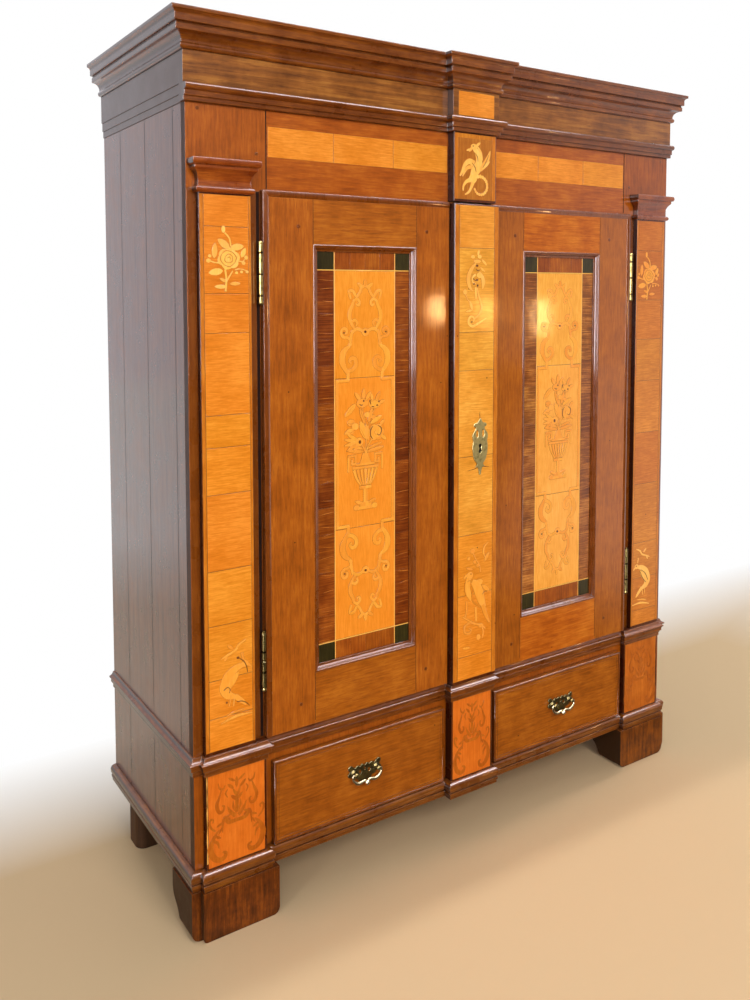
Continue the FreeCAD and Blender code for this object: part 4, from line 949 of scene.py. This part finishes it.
# %% Let in the lock strip figures
upper = [
    band([(32, 1353), (15, 1345), (0, 1338), (-14, 1333), (-26, 1340), (-26, 1352), (-17, 1358), (-9, 1352),
          (-12, 1344)], [2, 5, 6, 7, 7, 6, 5, 4, 2]),
    band([(-8, 1352), (5, 1360), (15, 1376), (13, 1392), (6, 1410), (0, 1430)], [3, 5, 6, 6, 5, 4]),
    leaf((-14, 1374), (-24, 1398), 9), leaf((-16, 1374), (-36, 1370), 6), disc((-39, 1420), 14, 13),
    band([(-38, 1414), (-30, 1400), (-22, 1394)], [2, 2, 2]),
    band([(-3, 1402), (-4, 1418), (-4, 1432)], [4, 7, 5]),
    band([(-4, 1492), (-18, 1478), (-28, 1458), (-26, 1436), (-15, 1423)], [4, 10, 12, 10, 3]),
    band([(-5, 1464), (-15, 1456), (-14, 1444), (-4, 1441)], [5, 5, 4, 3]), disc((8, 1462), 18, 14),
    band([(6, 1470), (17, 1458), (21, 1444), (18, 1428)], [6, 10, 12, 3]), disc((-14, 1508), 13, 9),
    disc((8, 1509), 13, 10), disc((0, 1497), 24, 9), leaf((16, 1502), (32, 1487), 7),
    leaf((10, 1482), (26, 1471), 6), leaf((2, 1512), (6, 1526), 7)]
upper_dark = [
    disc((0, 1486), 7, 6), disc((0, 1450), 7, 5), disc((2, 1436), 5, 6), disc((-10, 1440), 6, 4),
    disc((-17, 1344), 4, 4), band([(-14, 1454), (-6, 1449), (2, 1449)], [0.8, 1.6, 0.8]),
    band([(-4, 1478), (2, 1474), (10, 1476)], [0.8, 2, 0.8])]
lower = [
    disc((-18, 690), 22, 19), leaf((-24, 695), (-40, 685), 7),
    band([(-20, 686), (-26, 665), (-22, 645), (-12, 626)], [15, 17, 17, 9]),
    band([(-10, 674), (4, 660), (14, 640), (22, 618), (32, 598)], [12, 24, 28, 22, 10]),
    disc((13, 668), 26, 16), leaf((24, 658), (48, 640), 11),
    band([(26, 606), (36, 580), (49, 555)], [13, 11, 4]),
    band([(-29, 624), (-28, 600), (-33, 584)], [5, 5, 4]), band([(2, 604), (4, 584), (4, 566)], [5, 6, 5]),
    band([(-40, 585), (-20, 572), (0, 560), (22, 552), (36, 540)], [3, 4, 5, 5, 3]),
    band([(-6, 562), (-20, 566), (-34, 558), (-34, 544), (-20, 538), (-12, 546), (-20, 552)],
         [3, 4, 5, 5, 5, 4, 2]), disc((20, 552), 15, 11), disc((12, 522), 13, 15),
    band([(24, 548), (29, 532), (24, 517)], [3, 5, 2]), leaf((-40, 502), (-16, 500), 6),
    disc((-10, 753), 14, 13), disc((-22, 735), 9, 8), disc((-2, 724), 11, 9), disc((8, 713), 11, 9),
    leaf((-10, 705), (-30, 712), 6), band([(44, 769), (30, 758), (28, 742), (34, 730)], [2, 5, 5, 3]),
    leaf((31, 721), (47, 742), 9), band([(18, 694), (14, 712), (2, 730), (-8, 748)], [2.4, 2, 2, 2])]
lower_dark = [
    band([(-9, 650), (-10, 634), (-5, 618), (6, 610), (19, 600)], [2, 5, 3, 3.4, 1.5]),
    disc((-14, 694), 6, 3.4), band([(-34, 674), (-35, 656), (-30, 640)], [0.8, 1.8, 0.8]),
    band([(-26, 675), (-18, 678), (-10, 672)], [0.8, 2, 0.8]),
    band([(24, 634), (34, 640), (42, 636)], [0.8, 1.6, 0.8])]
let_in("strip_spray", STRIP_FACE, "right_door", pale=upper, dark=upper_dark)
let_in("strip_bird", STRIP_FACE, "right_door", sand=lower, line=lower_dark)
print("lock strip:", len(upper) + len(lower), "cut-outs")

# %% [markdown]
# ## Scrolls on the doors
# Every door leaf has scrollwork above and below its middle length, one design turned over. All four could be
# drawn, but half of one is enough: it is sawn, mirrored about the middle line, and set in four times.

# %% Saw half a scroll
half_scroll = [
    band([(49, -6), (49, 16)], [6, 7]),
    band([(49, 12), (58, 24), (65, 40), (63, 58), (54, 70), (42, 76)], [7, 9, 14, 14, 9, 3]),
    band([(49, 17), (38, 19), (27, 30), (28, 44), (38, 48), (44, 41), (40, 35)], [7, 7, 8, 8, 7, 5, 3]),
    disc((43, 80), 10, 7),
    band([(40, 88), (50, 96), (62, 98), (68, 107), (63, 117), (54, 116), (52, 108), (57, 105)],
         [3, 4, 5, 5, 5, 5, 4, 2]), band([(42, 80), (41, 95), (36, 114)], [4, 6, 4]),
    band([(37, 108), (25, 116), (12, 113), (4, 106)], [4, 6, 5, 3]),
    band([(30, 116), (38, 128), (44, 142), (43, 158), (36, 172), (33, 184)], [3, 6, 7, 8, 6, 4]),
    band([(40, 132), (30, 137), (23, 131), (26, 123)], [4, 5, 4, 2]),
    band([(33, 182), (24, 187), (16, 180), (19, 172), (26, 175)], [4, 5, 4, 4, 2]),
    band([(41, 187), (45, 205), (34, 205), (24, 193), (13, 205)], [3, 5, 5, 5, 4]),
    band([(15, 202), (9, 214), (0, 218)], [4, 5, 5]), leaf((6, 213), (21, 224), 7),
    leaf((0, 216), (0, 233), 8)]
scroll = both_sides(widened(half_scroll, RIM_MM)) + [disc((0, 108), 20, 18)]
scroll_dark = [disc((0, 109), 7, 6), disc((60, 108), 4, 4), disc((-60, 108), 4, 4)]
print("scroll:", len(scroll), "cut-outs")

# %% [markdown]
# ## Urn of flowers
# In the middle length stands a footed urn with a daisy, a rose and a loose posy. The urn is symmetrical, so
# half of it is mirrored; the flowers are not, so each petal and leaf is sawn where the picture shows it.
# Scorched lines part the petals.

# %% Saw the urn and its flowers
half_urn = [
    rect(0, 24, -6, 2), rect(0, 16, 2, 12), disc((26, 0), 16, 13), leaf((8, 8), (30, 16), 8),
    rect(0, 6, 12, 44), rect(0, 17, 44, 51), rect(0, 38, 93, 99), rect(0, 27, 101, 106),
    rect(46, 51, 88, 128), rect(26, 51, 123, 128), rect(26, 30.5, 104, 128), rect(26, 41, 104, 108.5),
    rect(36.5, 41, 104, 117), leaf((4, 133), (54, 141), 9), leaf((6, 140), (48, 152), 7)]
half_urn += [band([(s * 0.4, 53), (s * 0.72, 68), (s, 92)], [3, 5, 7]) for s in (11, 22, 33)]
neck = [
    [(Vector((-w, z)), Vector((w, z))) for w, z in ((16, 106), (11, 118), (8, 130))],
    band([(0, 53), (0, 92)], [4, 7])]
stalks = [
    band([(0, 130), (-6, 145), (-18, 158)], [3, 3, 3]), band([(2, 130), (10, 150), (24, 168)], [3, 3, 3]),
    band([(0, 130), (2, 170), (-6, 210), (-8, 246)], [3, 3, 2.4, 2]),
    band([(4, 180), (16, 215), (28, 238)], [2.4, 2, 2])]
daisy = [leaf((-17, 158), tip, 9) for tip in ((-60, 167), (-60, 152), (-54, 139), (-52, 180), (-34, 134))]
daisy.append(disc((-17, 158), 20, 21))
turns = [math.radians(60 * k) for k in range(6)]
rose = [disc((31 + 13 * math.cos(t), 178 + 11 * math.sin(t)), 21, 19) for t in turns]
rose.append(disc((31, 178), 30, 27))
posy = [
    disc((-41, 206), 21, 16), disc((-29, 196), 19, 16), disc((-43, 185), 22, 14),
    leaf((-34, 191), (-60, 180), 10), leaf((4, 162), (-15, 208), 18), leaf((8, 160), (2, 200), 13),
    leaf((-28, 250), (-58, 221), 13), leaf((0, 200), (-16, 238), 10), leaf((8, 204), (20, 238), 10),
    leaf((14, 200), (48, 217), 11), leaf((42, 194), (56, 207), 8), disc((5, 222), 16, 13),
    disc((23, 215), 13, 10), leaf((46, 170), (60, 158), 9), disc((-9, 251), 32, 22),
    leaf((-14, 258), (-30, 277), 10), leaf((-6, 260), (-4, 286), 10), leaf((2, 258), (15, 277), 9),
    disc((27, 247), 34, 21), leaf((31, 255), (43, 275), 9), leaf((20, 256), (17, 273), 8),
    leaf((40, 248), (56, 254), 8)]
urn = both_sides(half_urn) + neck + stalks + daisy + rose + posy
urn_dark = [
    disc((-16, 158), 7, 9), disc((-5, 256), 5, 5), disc((34, 243), 6, 4), disc((39, 252), 5, 4),
    band([(18, 241), (25, 240)], [2, 2.4]),
    band([(22, 194), (15, 184), (15, 171), (21, 162)], [1, 2.8, 2.6, 1]),
    band([(-18, 249), (-12, 246), (-7, 247)], [1, 2.6, 1]),
    band([(36, 194), (45, 188), (46, 178), (40, 170), (33, 174)], [1, 2.6, 2, 1.8, 0.8]),
    band([(13, 257), (14, 251), (16, 246)], [2.4, 2.6, 1.6])]
urn_lines = [
    band([(-14, 190), (-6, 176), (0, 164)], [0.6, 1.2, 0.6]),
    band([(-50, 206), (-41, 203), (-32, 206)], [0.6, 1.2, 0.6]),
    band([(-52, 186), (-43, 182), (-34, 186)], [0.6, 1.2, 0.6]),
    band([(-4, 210), (-10, 224), (-14, 234)], [0.5, 1, 0.5]),
    band([(-22, 256), (-9, 262), (4, 256)], [0.6, 1.2, 0.6]),
    band([(16, 252), (28, 256), (42, 250)], [0.6, 1.2, 0.6]),
    band([(-54, 225), (-42, 238), (-32, 246)], [0.5, 1, 0.5]),
    band([(30, 184), (26, 178), (31, 172)], [0.5, 1.4, 0.5])]
print("urn with flowers:", len(urn), "cut-outs")

# %% [markdown]
# ## Door figures
# Scrolls, urn and the pale straps down both edges of the middle length go into each door in one step,
# because a figure that is let in at once needs one rim and one level of wood.

# %% Let in the door figures
URN_FOOT = 905
low_cut, high_cut = PANEL_CUTS[1:3]
straps = both_sides([rect(76, 83, low_cut + 3, high_cut - 3), rect(46, 83, high_cut - 9, high_cut - 2),
                     rect(46, 83, low_cut + 2, low_cut + 9)])
for side, axis in PANEL.items():
    sand = moved(scroll, axis, high_cut) + moved(scroll, axis, low_cut, tip=-1) + moved(straps, axis)
    sand += moved(urn, axis, URN_FOOT)
    dark = moved(scroll_dark, axis, high_cut) + moved(scroll_dark, axis, low_cut, tip=-1)
    dark += moved(urn_dark, axis, URN_FOOT)
    let_in(f"{side}_panel_figure", panel_face, f"{side}_door", sand=sand, dark=dark,
           line=moved(urn_lines, axis, URN_FOOT))
print("door figure:", len(scroll) * 2 + len(straps) + len(urn), "cut-outs")

# %% [markdown]
# ## Winged beast
# A small winged beast rears on the block over the doors. It is pale on a brown ground and too small for
# drawn feathers, so a few bold bands give body, wings and legs, and the tail is a curl of beads.

# %% Let in the beast
beast = [
    band([(-3, 1780), (8, 1766), (12, 1750), (8, 1735), (-2, 1722), (-8, 1706)], [13, 17, 20, 26, 26, 18]),
    disc((-5, 1784), 21, 15), leaf((-10, 1783), (-22, 1771), 8), leaf((-16, 1778), (-30, 1773), 5),
    leaf((2, 1787), (16, 1796), 7), band([(6, 1786), (18, 1771), (23, 1752)], [3, 6, 2]),
    band([(-4, 1742), (-20, 1747), (-34, 1738), (-42, 1722), (-50, 1709)], [16, 14, 10, 8, 3]),
    band([(-10, 1734), (-26, 1731), (-36, 1719), (-42, 1708)], [9, 9, 6, 2]),
    band([(16, 1727), (30, 1742), (42, 1760), (49, 1778)], [8, 15, 12, 2]), leaf((22, 1730), (48, 1752), 8),
    disc((-8, 1705), 26, 23), band([(-12, 1702), (-28, 1697), (-38, 1686), (-40, 1673)], [13, 8, 6, 3]),
    band([(-8, 1696), (-14, 1682), (-22, 1670), (-34, 1664)], [11, 8, 6, 3])]
CURL, BEADS = (16.0, 1687.0), 15
for k in range(BEADS):
    turn, reach, wide = 1.9 - 4.6 * k / (BEADS - 1), 25.0 - 0.35 * k, 9.5 - 0.2 * k
    beast.append(disc((CURL[0] + reach * math.cos(turn), CURL[1] + reach * math.sin(turn)), wide, wide))
beast_lines = [
    disc((-8, 1786), 3, 3), band([(-12, 1744), (-2, 1734), (2, 1722)], [0.5, 1.2, 0.5]),
    band([(24, 1734), (34, 1748), (44, 1768)], [0.5, 1.1, 0.4]),
    band([(-4, 1770), (6, 1760), (8, 1748)], [0.5, 1.2, 0.5])]
let_in("winged_beast", BLOCK_FACE - SKIN_MM, "case", pale=beast, dark=beast_lines)
print("beast:", len(beast), "cut-outs")

# %% [markdown]
# ## Base scrolls
# On the base blocks the colours are the other way round: brown scrolls lie in the orange pear. They are
# symmetrical, so half of one is sawn and mirrored, and narrowed to each block.

# %% Let in the base scrolls
half_base = [
    band([(48, -22), (44, -34), (35, -38), (30, -31)], [1.5, 5, 5, 2]),
    band([(40, -40), (46, -56), (52, -72), (46, -88), (36, -88), (33, -79), (38, -75)],
         [2, 6, 9, 8, 6, 5, 3]),
    band([(56, -128), (66, -119), (71, -107), (67, -99), (61, -102), (63, -108)], [3, 5, 6, 5, 4, 2]),
    band([(18, -113), (31, -104), (37, -116), (38, -136)], [5, 8, 6, 2]), leaf((37, -114), (53, -120), 6),
    leaf((38, -124), (48, -138), 5),
    band([(46, -128), (60, -143), (69, -165), (61, -187), (46, -197), (33, -194), (30, -185), (38, -181)],
         [2, 9, 15, 14, 11, 10, 8, 4]), band([(60, -150), (50, -158), (47, -170)], [7, 6, 2]),
    leaf((56, -140), (42, -148), 6), band([(0, -118), (22, -117), (29, -107), (18, -101)], [8, 9, 7, 3]),
    band([(4, -108), (17, -95), (25, -80)], [9, 8, 1]), band([(0, -100), (9, -86), (9, -72)], [7, 6, 1]),
    leaf((0, -72), (15, -58), 8), leaf((0, -64), (10, -44), 6), leaf((8, -44), (24, -30), 7),
    leaf((4, -28), (22, -17), 6), band([(24, -60), (29, -50), (24, -42)], [2, 4, 2])]
base_scroll = both_sides(half_base) + [leaf((0, -100), (0, -52), 9), leaf((0, -44), (0, -18), 8)]
for name, axis, face, grow, wood in (("left", -674, PILASTER_FACE, 0.94, brown_scroll),
                                     ("centre", 0, BLOCK_FACE, 0.83, brown_scroll),
                                     ("right", 674, PILASTER_FACE, 0.94, worn_scroll)):
    strips = [
        [(Vector((a.x * grow, a.y)), Vector((b.x * grow, b.y))) for a, b in strip] for strip in base_scroll]
    glue_on(f"base_scroll_{name}", moved(strips, axis, BASE_HEAD), face - LEAF_MM, wood,
            "case", thick=SKIN_MM)

# %% [markdown]
# ## Joints, pegs, cracks and chips
# Old joinery shows itself: a dark line where a stile meets a rail, the round end of the peg that holds the
# tenon, a crack beside the key plate, bare wood along a knocked edge. Each is a thin strip or disc laid on
# the face, so it moves with its door.

# %% Show the joints
door_low, door_high = mm_box("left_door_stiles")
DOOR_FACE = door_low.y
open_low, open_high = mm_box("left_door_panel_moulding")
outer_edge, inner_edge = abs(open_low.x), abs(open_high.x)
PEG_MM, PEG_Z, JOINT_MM, RAIL_END = 9.0, (468.0, 1567.0), 1.5, 8.0
OUTER_PEG, INNER_PEG, FRIEZE_JOINT, FRIEZE_Z = 38.0, 31.0, 581, (1647, 1817)
FRIEZE_PEG_MM, FRIEZE_PEGS = 8, ((-742, 1806), (742, 1806), (-604, 1722), (604, 1722))
DUST_MM, PEG_RISE_MM = 0.03, 0.25
for side, way in (("left", -1), ("right", 1)):
    lines, pegs = [], []
    for x in (way * outer_edge, way * inner_edge):
        for z0, z1 in ((door_low.z + RAIL_END, open_low.z), (open_high.z, door_high.z - RAIL_END)):
            lines.append(rect(x - JOINT_MM / 2, x + JOINT_MM / 2, z0, z1))
    for x in (way * (outer_edge + OUTER_PEG), way * (inner_edge - INNER_PEG)):
        pegs += [disc((x, z), PEG_MM, PEG_MM) for z in PEG_Z]
    glue_on(f"{side}_door_joint_lines", lines, DOOR_FACE, joint_dirt_and_gap_shadow, f"{side}_door",
            thick=DUST_MM)
    glue_on(f"{side}_door_pegs", pegs, DOOR_FACE, brown_bead, f"{side}_door",
            thick=PEG_RISE_MM)
frieze_joints = [rect(x - JOINT_MM, x + JOINT_MM, *FRIEZE_Z) for x in (-FRIEZE_JOINT, FRIEZE_JOINT)]
glue_on("frieze_joint_lines", frieze_joints, FRIEZE_FACE, joint_dirt_and_gap_shadow, "case", thick=SKIN_MM)
glue_on("frieze_pegs", [disc(spot, FRIEZE_PEG_MM, FRIEZE_PEG_MM) for spot in FRIEZE_PEGS], FRIEZE_FACE,
        brown_bead, "case", thick=PEG_RISE_MM)
print("pegs:", len(pegs) * 2 + len(FRIEZE_PEGS))

# %% Cracks and chips
cracks = [
    band([(2, 968), (-8, 966), (-27, 964)], [2.4, 1.6, 0.5]),
    band([(26, 970), (36, 969), (46, 967)], [2.4, 1.2, 0.5]),
    band([(13, 1096), (12, 1106), (13, 1113)], [2, 1.6, 0.5])]
glue_on("lock_strip_cracks", cracks, STRIP_FACE - LEAF_MM, scorched_walnut, "right_door",
        thick=FILM_MM)
ragged = [1.0, 2.6, 0.8, 2.0, 0.6, 2.8, 1.6, 0.6, 2.4, 3.0, 1.2, 2.2, 2.8]
CHIP_X, CHIP_TOP, CHIP_STEP = -745.4, 366, 16.5
chips = [band([(CHIP_X, CHIP_TOP - CHIP_STEP * k) for k in range(len(ragged))], ragged, steps=2)]
glue_on("base_block_chips", chips, PILASTER_FACE, pale_box, "case", thick=STRIP_MM)
print("cracks:", len(cracks), "and a chipped edge of", len(ragged), "bites")

# %% [markdown]
# ## Drawer beads
# A slim half-round bead of brown wood is nailed round the edge of each drawer front, mitred at the corners.
# A bevelled curve could follow the edge; here the profile is swept by hand, four corners for each point of a
# half circle, because that gives true mitres.

# %% Bead the drawers
BEAD_MM, BEAD_RISE, BEAD_ROOT, BEAD_STEPS = 6.0, 2.2, 0.3, 6
for side in ("left", "right"):
    low, high = mm_box(f"{side}_drawer_front")
    turns = [math.pi * k / BEAD_STEPS for k in range(BEAD_STEPS + 1)]
    profile = [(BEAD_MM / 2 * (1 - math.cos(t)), BEAD_RISE * math.sin(t)) for t in turns]
    corners, faces = [], []
    for inset, rise in profile + [(BEAD_MM / 2, -BEAD_ROOT)]:
        x0, x1, z0, z1 = low.x + inset, high.x - inset, low.z + inset, high.z - inset
        corners += [
            (x * MM, (low.y - rise) * MM, z * MM) for x, z in ((x0, z0), (x1, z0), (x1, z1), (x0, z1))]
    rings = len(profile) + 1
    for ring in range(rings):
        for k in range(4):
            a, b = ring * 4, (ring + 1) % rings * 4
            faces.append((a + k, a + (k + 1) % 4, b + (k + 1) % 4, b + k))
    mesh = bpy.data.meshes.new(f"{side}_drawer_bead")
    mesh.from_pydata(corners, [], faces)
    bead = finish_piece(f"{side}_drawer_bead", mesh, brown_bead, f"{side}_drawer")
    for face in bead.data.polygons:
        face.use_smooth = True
print("bead:", BEAD_MM, "mm wide, rising", BEAD_RISE, "mm")

# %% [markdown]
# ## Cast handles and key plate
# Handle plates and key plate were cast in sand from a carved pattern: a scalloped, pierced sheet with soft
# edges. Blender's flat curves make just that: a closed outline is filled, inner outlines become holes, and
# extrude and bevel give the rounded rim. The result is turned to a mesh and welded, so it is closed like the
# real casting.

# %% Soft outlines and welded meshes
WELD_MM, CURVE_STEPS = 0.02, 5


def smooth_loop(curve, points):
    """One closed outline with soft turns."""
    spline = curve.splines.new("BEZIER")
    spline.bezier_points.add(len(points) - 1)
    for knot, (x, z) in zip(spline.bezier_points, points):
        knot.co = (x * MM, z * MM, 0)
        knot.handle_left_type = knot.handle_right_type = "AUTO"
    spline.use_cyclic_u = True
    spline.resolution_u = CURVE_STEPS


def welded(curve):
    """The mesh of a curve, its doubled points joined so that it is closed."""
    shape = bpy.data.objects.new(curve.name + "_pattern", curve)
    bpy.context.scene.collection.objects.link(shape)
    bpy.context.view_layer.update()
    mesh = bpy.data.meshes.new_from_object(shape.evaluated_get(bpy.context.evaluated_depsgraph_get()))
    bpy.data.objects.remove(shape)
    work = bmesh.new()
    work.from_mesh(mesh)
    bmesh.ops.remove_doubles(work, verts=work.verts, dist=WELD_MM * MM)
    work.to_mesh(mesh)
    work.free()
    return mesh


print("a curve has", CURVE_STEPS, "steps from knot to knot")

# %% Cast a pierced plate
PLATE_MM, RIM_ROUND_MM = 2.6, 0.8


def cast_plate(name, outline, holes, centre, face_y):
    """A filled, pierced outline with a rounded rim, standing on a front face."""
    curve = bpy.data.curves.new(name, "CURVE")
    curve.dimensions = "2D"
    curve.fill_mode = "BOTH"
    curve.extrude = (PLATE_MM / 2 - RIM_ROUND_MM) * MM
    curve.bevel_depth = RIM_ROUND_MM * MM
    curve.bevel_resolution = 2
    curve.offset = -RIM_ROUND_MM * MM
    for loop in (outline, *holes):
        smooth_loop(curve, loop)
    mesh = welded(curve)
    for point in mesh.vertices:
        x, z, out = point.co
        point.co = (centre[0] * MM + x, (face_y - PLATE_MM / 2) * MM - out, centre[1] * MM + z)
    return mesh


def oval(centre, wide, high):
    """Four knots of an oval hole."""
    x, z = centre
    return [(x + wide / 2, z), (x, z + high / 2), (x - wide / 2, z), (x, z - high / 2)]


def whole(half):
    """A half outline from the top of the middle line to its foot, and its mirror image."""
    return half + [(-x, z) for x, z in reversed(half) if x]


print("plate:", PLATE_MM, "mm, its rim rounded by", RIM_ROUND_MM, "mm")

# %% Cast the key plate
KEY_SUNK, KEYHOLE = 2.0, (-6, 6, -18, 10)
low, high = mm_box("escutcheon")
key_half = [
    (0, 73), (5, 67), (10, 62), (19, 60), (21, 54), (14, 50), (18, 42), (24, 34), (25, 22), (23, 16),
    (25, 4), (24, -14), (18, -34), (10, -46), (15, -51), (7, -54), (4, -62), (0, -73)]
key_holes = [
    oval((10, 34), 7, 20), oval((-10, 34), 7, 20),
    [(0, 8), (5, 3), (3, -4), (4, -15), (-4, -15), (-3, -4), (-5, 3)]]
middle = ((low.x + high.x) / 2, (low.z + high.z) / 2)
mesh = cast_plate("key_plate", whole(key_half), key_holes, middle, low.y + KEY_SUNK)
key_plate = finish_piece("key_plate", mesh, tarnished_brass, "right_door")
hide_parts("escutcheon")
# painted shade: a black iron sheet under the keyhole stands for the dark inside the lock
glue_on("keyhole_dark", moved([rect(*KEYHOLE)], *middle), STRIP_FACE - LEAF_MM, black_iron,
        "right_door", thick=SKIN_MM)
print("key plate:", len(mesh.vertices), "points")

# %% [markdown]
# ## Posts and bails
# Two turned posts hold the swinging bail, which is drawn thin at the posts, swells in two lobes and carries
# a drop in the middle. Posts and drop are turned round an axis; the bail is a curve with its own thickness
# at every point.

# %% Turn round pieces and join them
def turned(profile, place, axis, turns=14):
    """Points and faces of a lathe-turned piece: radius and height pairs about an axis of y or z."""
    points, faces = [], []
    for radius, height in profile:
        for k in range(turns):
            a = 2 * math.pi * k / turns
            flat = (radius * math.cos(a), radius * math.sin(a))
            spot = (flat[0], -height, flat[1]) if axis == "y" else (flat[0], flat[1], height)
            points.append(tuple((p + q) * MM for p, q in zip(place, spot)))
    for ring in range(len(profile) - 1):
        for k in range(turns):
            a, b = ring * turns, (ring + 1) * turns
            faces.append((a + k, a + (k + 1) % turns, b + (k + 1) % turns, b + k))
    faces += [tuple(range(turns)), tuple(range(len(points) - turns, len(points)))]
    return points, faces


def joined(mesh, pieces):
    """A mesh with more closed pieces beside it."""
    work = bmesh.new()
    work.from_mesh(mesh)
    for points, faces in pieces:
        made = [work.verts.new(p) for p in points]
        for face in faces:
            work.faces.new([made[k] for k in face])
    work.to_mesh(mesh)
    work.free()
    return mesh


print("a turned knob has", len(turned([(1, 0), (1, 1)], (0, 0, 0), "z")[1]), "faces at least")

# %% Cast, turn and bend the handles
plate_half = [
    (0, 20), (7, 24), (14, 20), (21, 23), (28, 19), (36, 25), (44, 26), (47, 19), (42, 13), (48, 6),
    (43, -2), (35, -2), (30, -9), (22, -9), (16, -17), (8, -17), (0, -25)]
plate_holes = [oval((s * x, z), w, h) for s in (-1, 1) for x, z, w, h in ((13, 6, 8, 10), (26, 8, 6, 7))]
plate_holes.append(oval((0, 12), 5, 9))
POST = [
    (7.0, 0.0), (7.0, 2.0), (4.0, 3.4), (3.4, 8.0), (4.6, 10.0), (5.6, 13.0), (5.2, 16.5), (3.0, 18.6),
    (0.6, 19.0)]
POST_IN, POST_SUNK, PIVOT_DOWN, BAIL_MARGIN, BAIL_MM, DROP_DOWN = 3.0, 1.0, 2.6, 3.0, 2.2, 26
DROP = [(0.6, -7.5), (2.6, -7.0), (3.2, -5.0), (6.4, -2.5), (6.8, 0.5), (5.0, 3.2), (3.2, 4.6), (0.6, 5.0)]
for side in ("left", "right"):
    low, high = mm_box(f"{side}_handle_plate")
    swing_low, swing_high = mm_box(f"{side}_handle_bail")
    x, z = (low.x + high.x) / 2, (low.z + high.z) / 2
    pivot = Vector((0, (swing_low.y + swing_high.y) / 2, swing_high.z - PIVOT_DOWN))
    reach = (swing_high.x - swing_low.x) / 2 - BAIL_MARGIN
    mesh = cast_plate(f"{side}_drawer_plate", whole(plate_half), plate_holes, (x, z), high.y)
    posts = [(x + way * (reach - POST_IN), high.y - POST_SUNK, pivot.z) for way in (-1, 1)]
    mesh = joined(mesh, [turned(POST, spot, "y") for spot in posts])
    plate = finish_piece(f"{side}_drawer_plate", mesh, smoked_brass, f"{side}_drawer")
    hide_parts(f"{side}_handle_plate")
    bend = bpy.data.curves.new(f"{side}_drawer_bail", "CURVE")
    bend.dimensions = "3D"
    bend.bevel_depth = BAIL_MM * MM
    bend.bevel_resolution = 3
    bend.use_fill_caps = True
    half_bail = [
        (reach - 5, 0, 0.9), (reach + 2, 0, 0.9), (reach + 5, -1.2, 1.0), (reach + 6, -6, 1.1),
        (reach + 2, -15, 1.4), (24, -23, 1.9), (13, -21, 1.6), (6, -20, 1.2)]
    knots = [(-u, w, r) for u, w, r in half_bail] + [(0, -24, 1.0)] + half_bail[::-1]
    spline = bend.splines.new("BEZIER")
    spline.bezier_points.add(len(knots) - 1)
    for knot, (u, w, r) in zip(spline.bezier_points, knots):
        knot.co = ((x + u) * MM, pivot.y * MM, (pivot.z + w) * MM)
        knot.radius = r
        knot.handle_left_type = knot.handle_right_type = "AUTO"
    spline.resolution_u = CURVE_STEPS
    mesh = joined(welded(bend), [turned(DROP, (x, pivot.y, pivot.z - DROP_DOWN), "z")])
    bail = finish_piece(f"{side}_drawer_bail", mesh, rubbed_brass, f"{side}_bail")
    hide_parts(f"{side}_handle_bail")
    for piece in (plate, bail):
        for face in piece.data.polygons:
            face.use_smooth = True
print("handles: pivot at", [round(v, 1) for v in pivot])
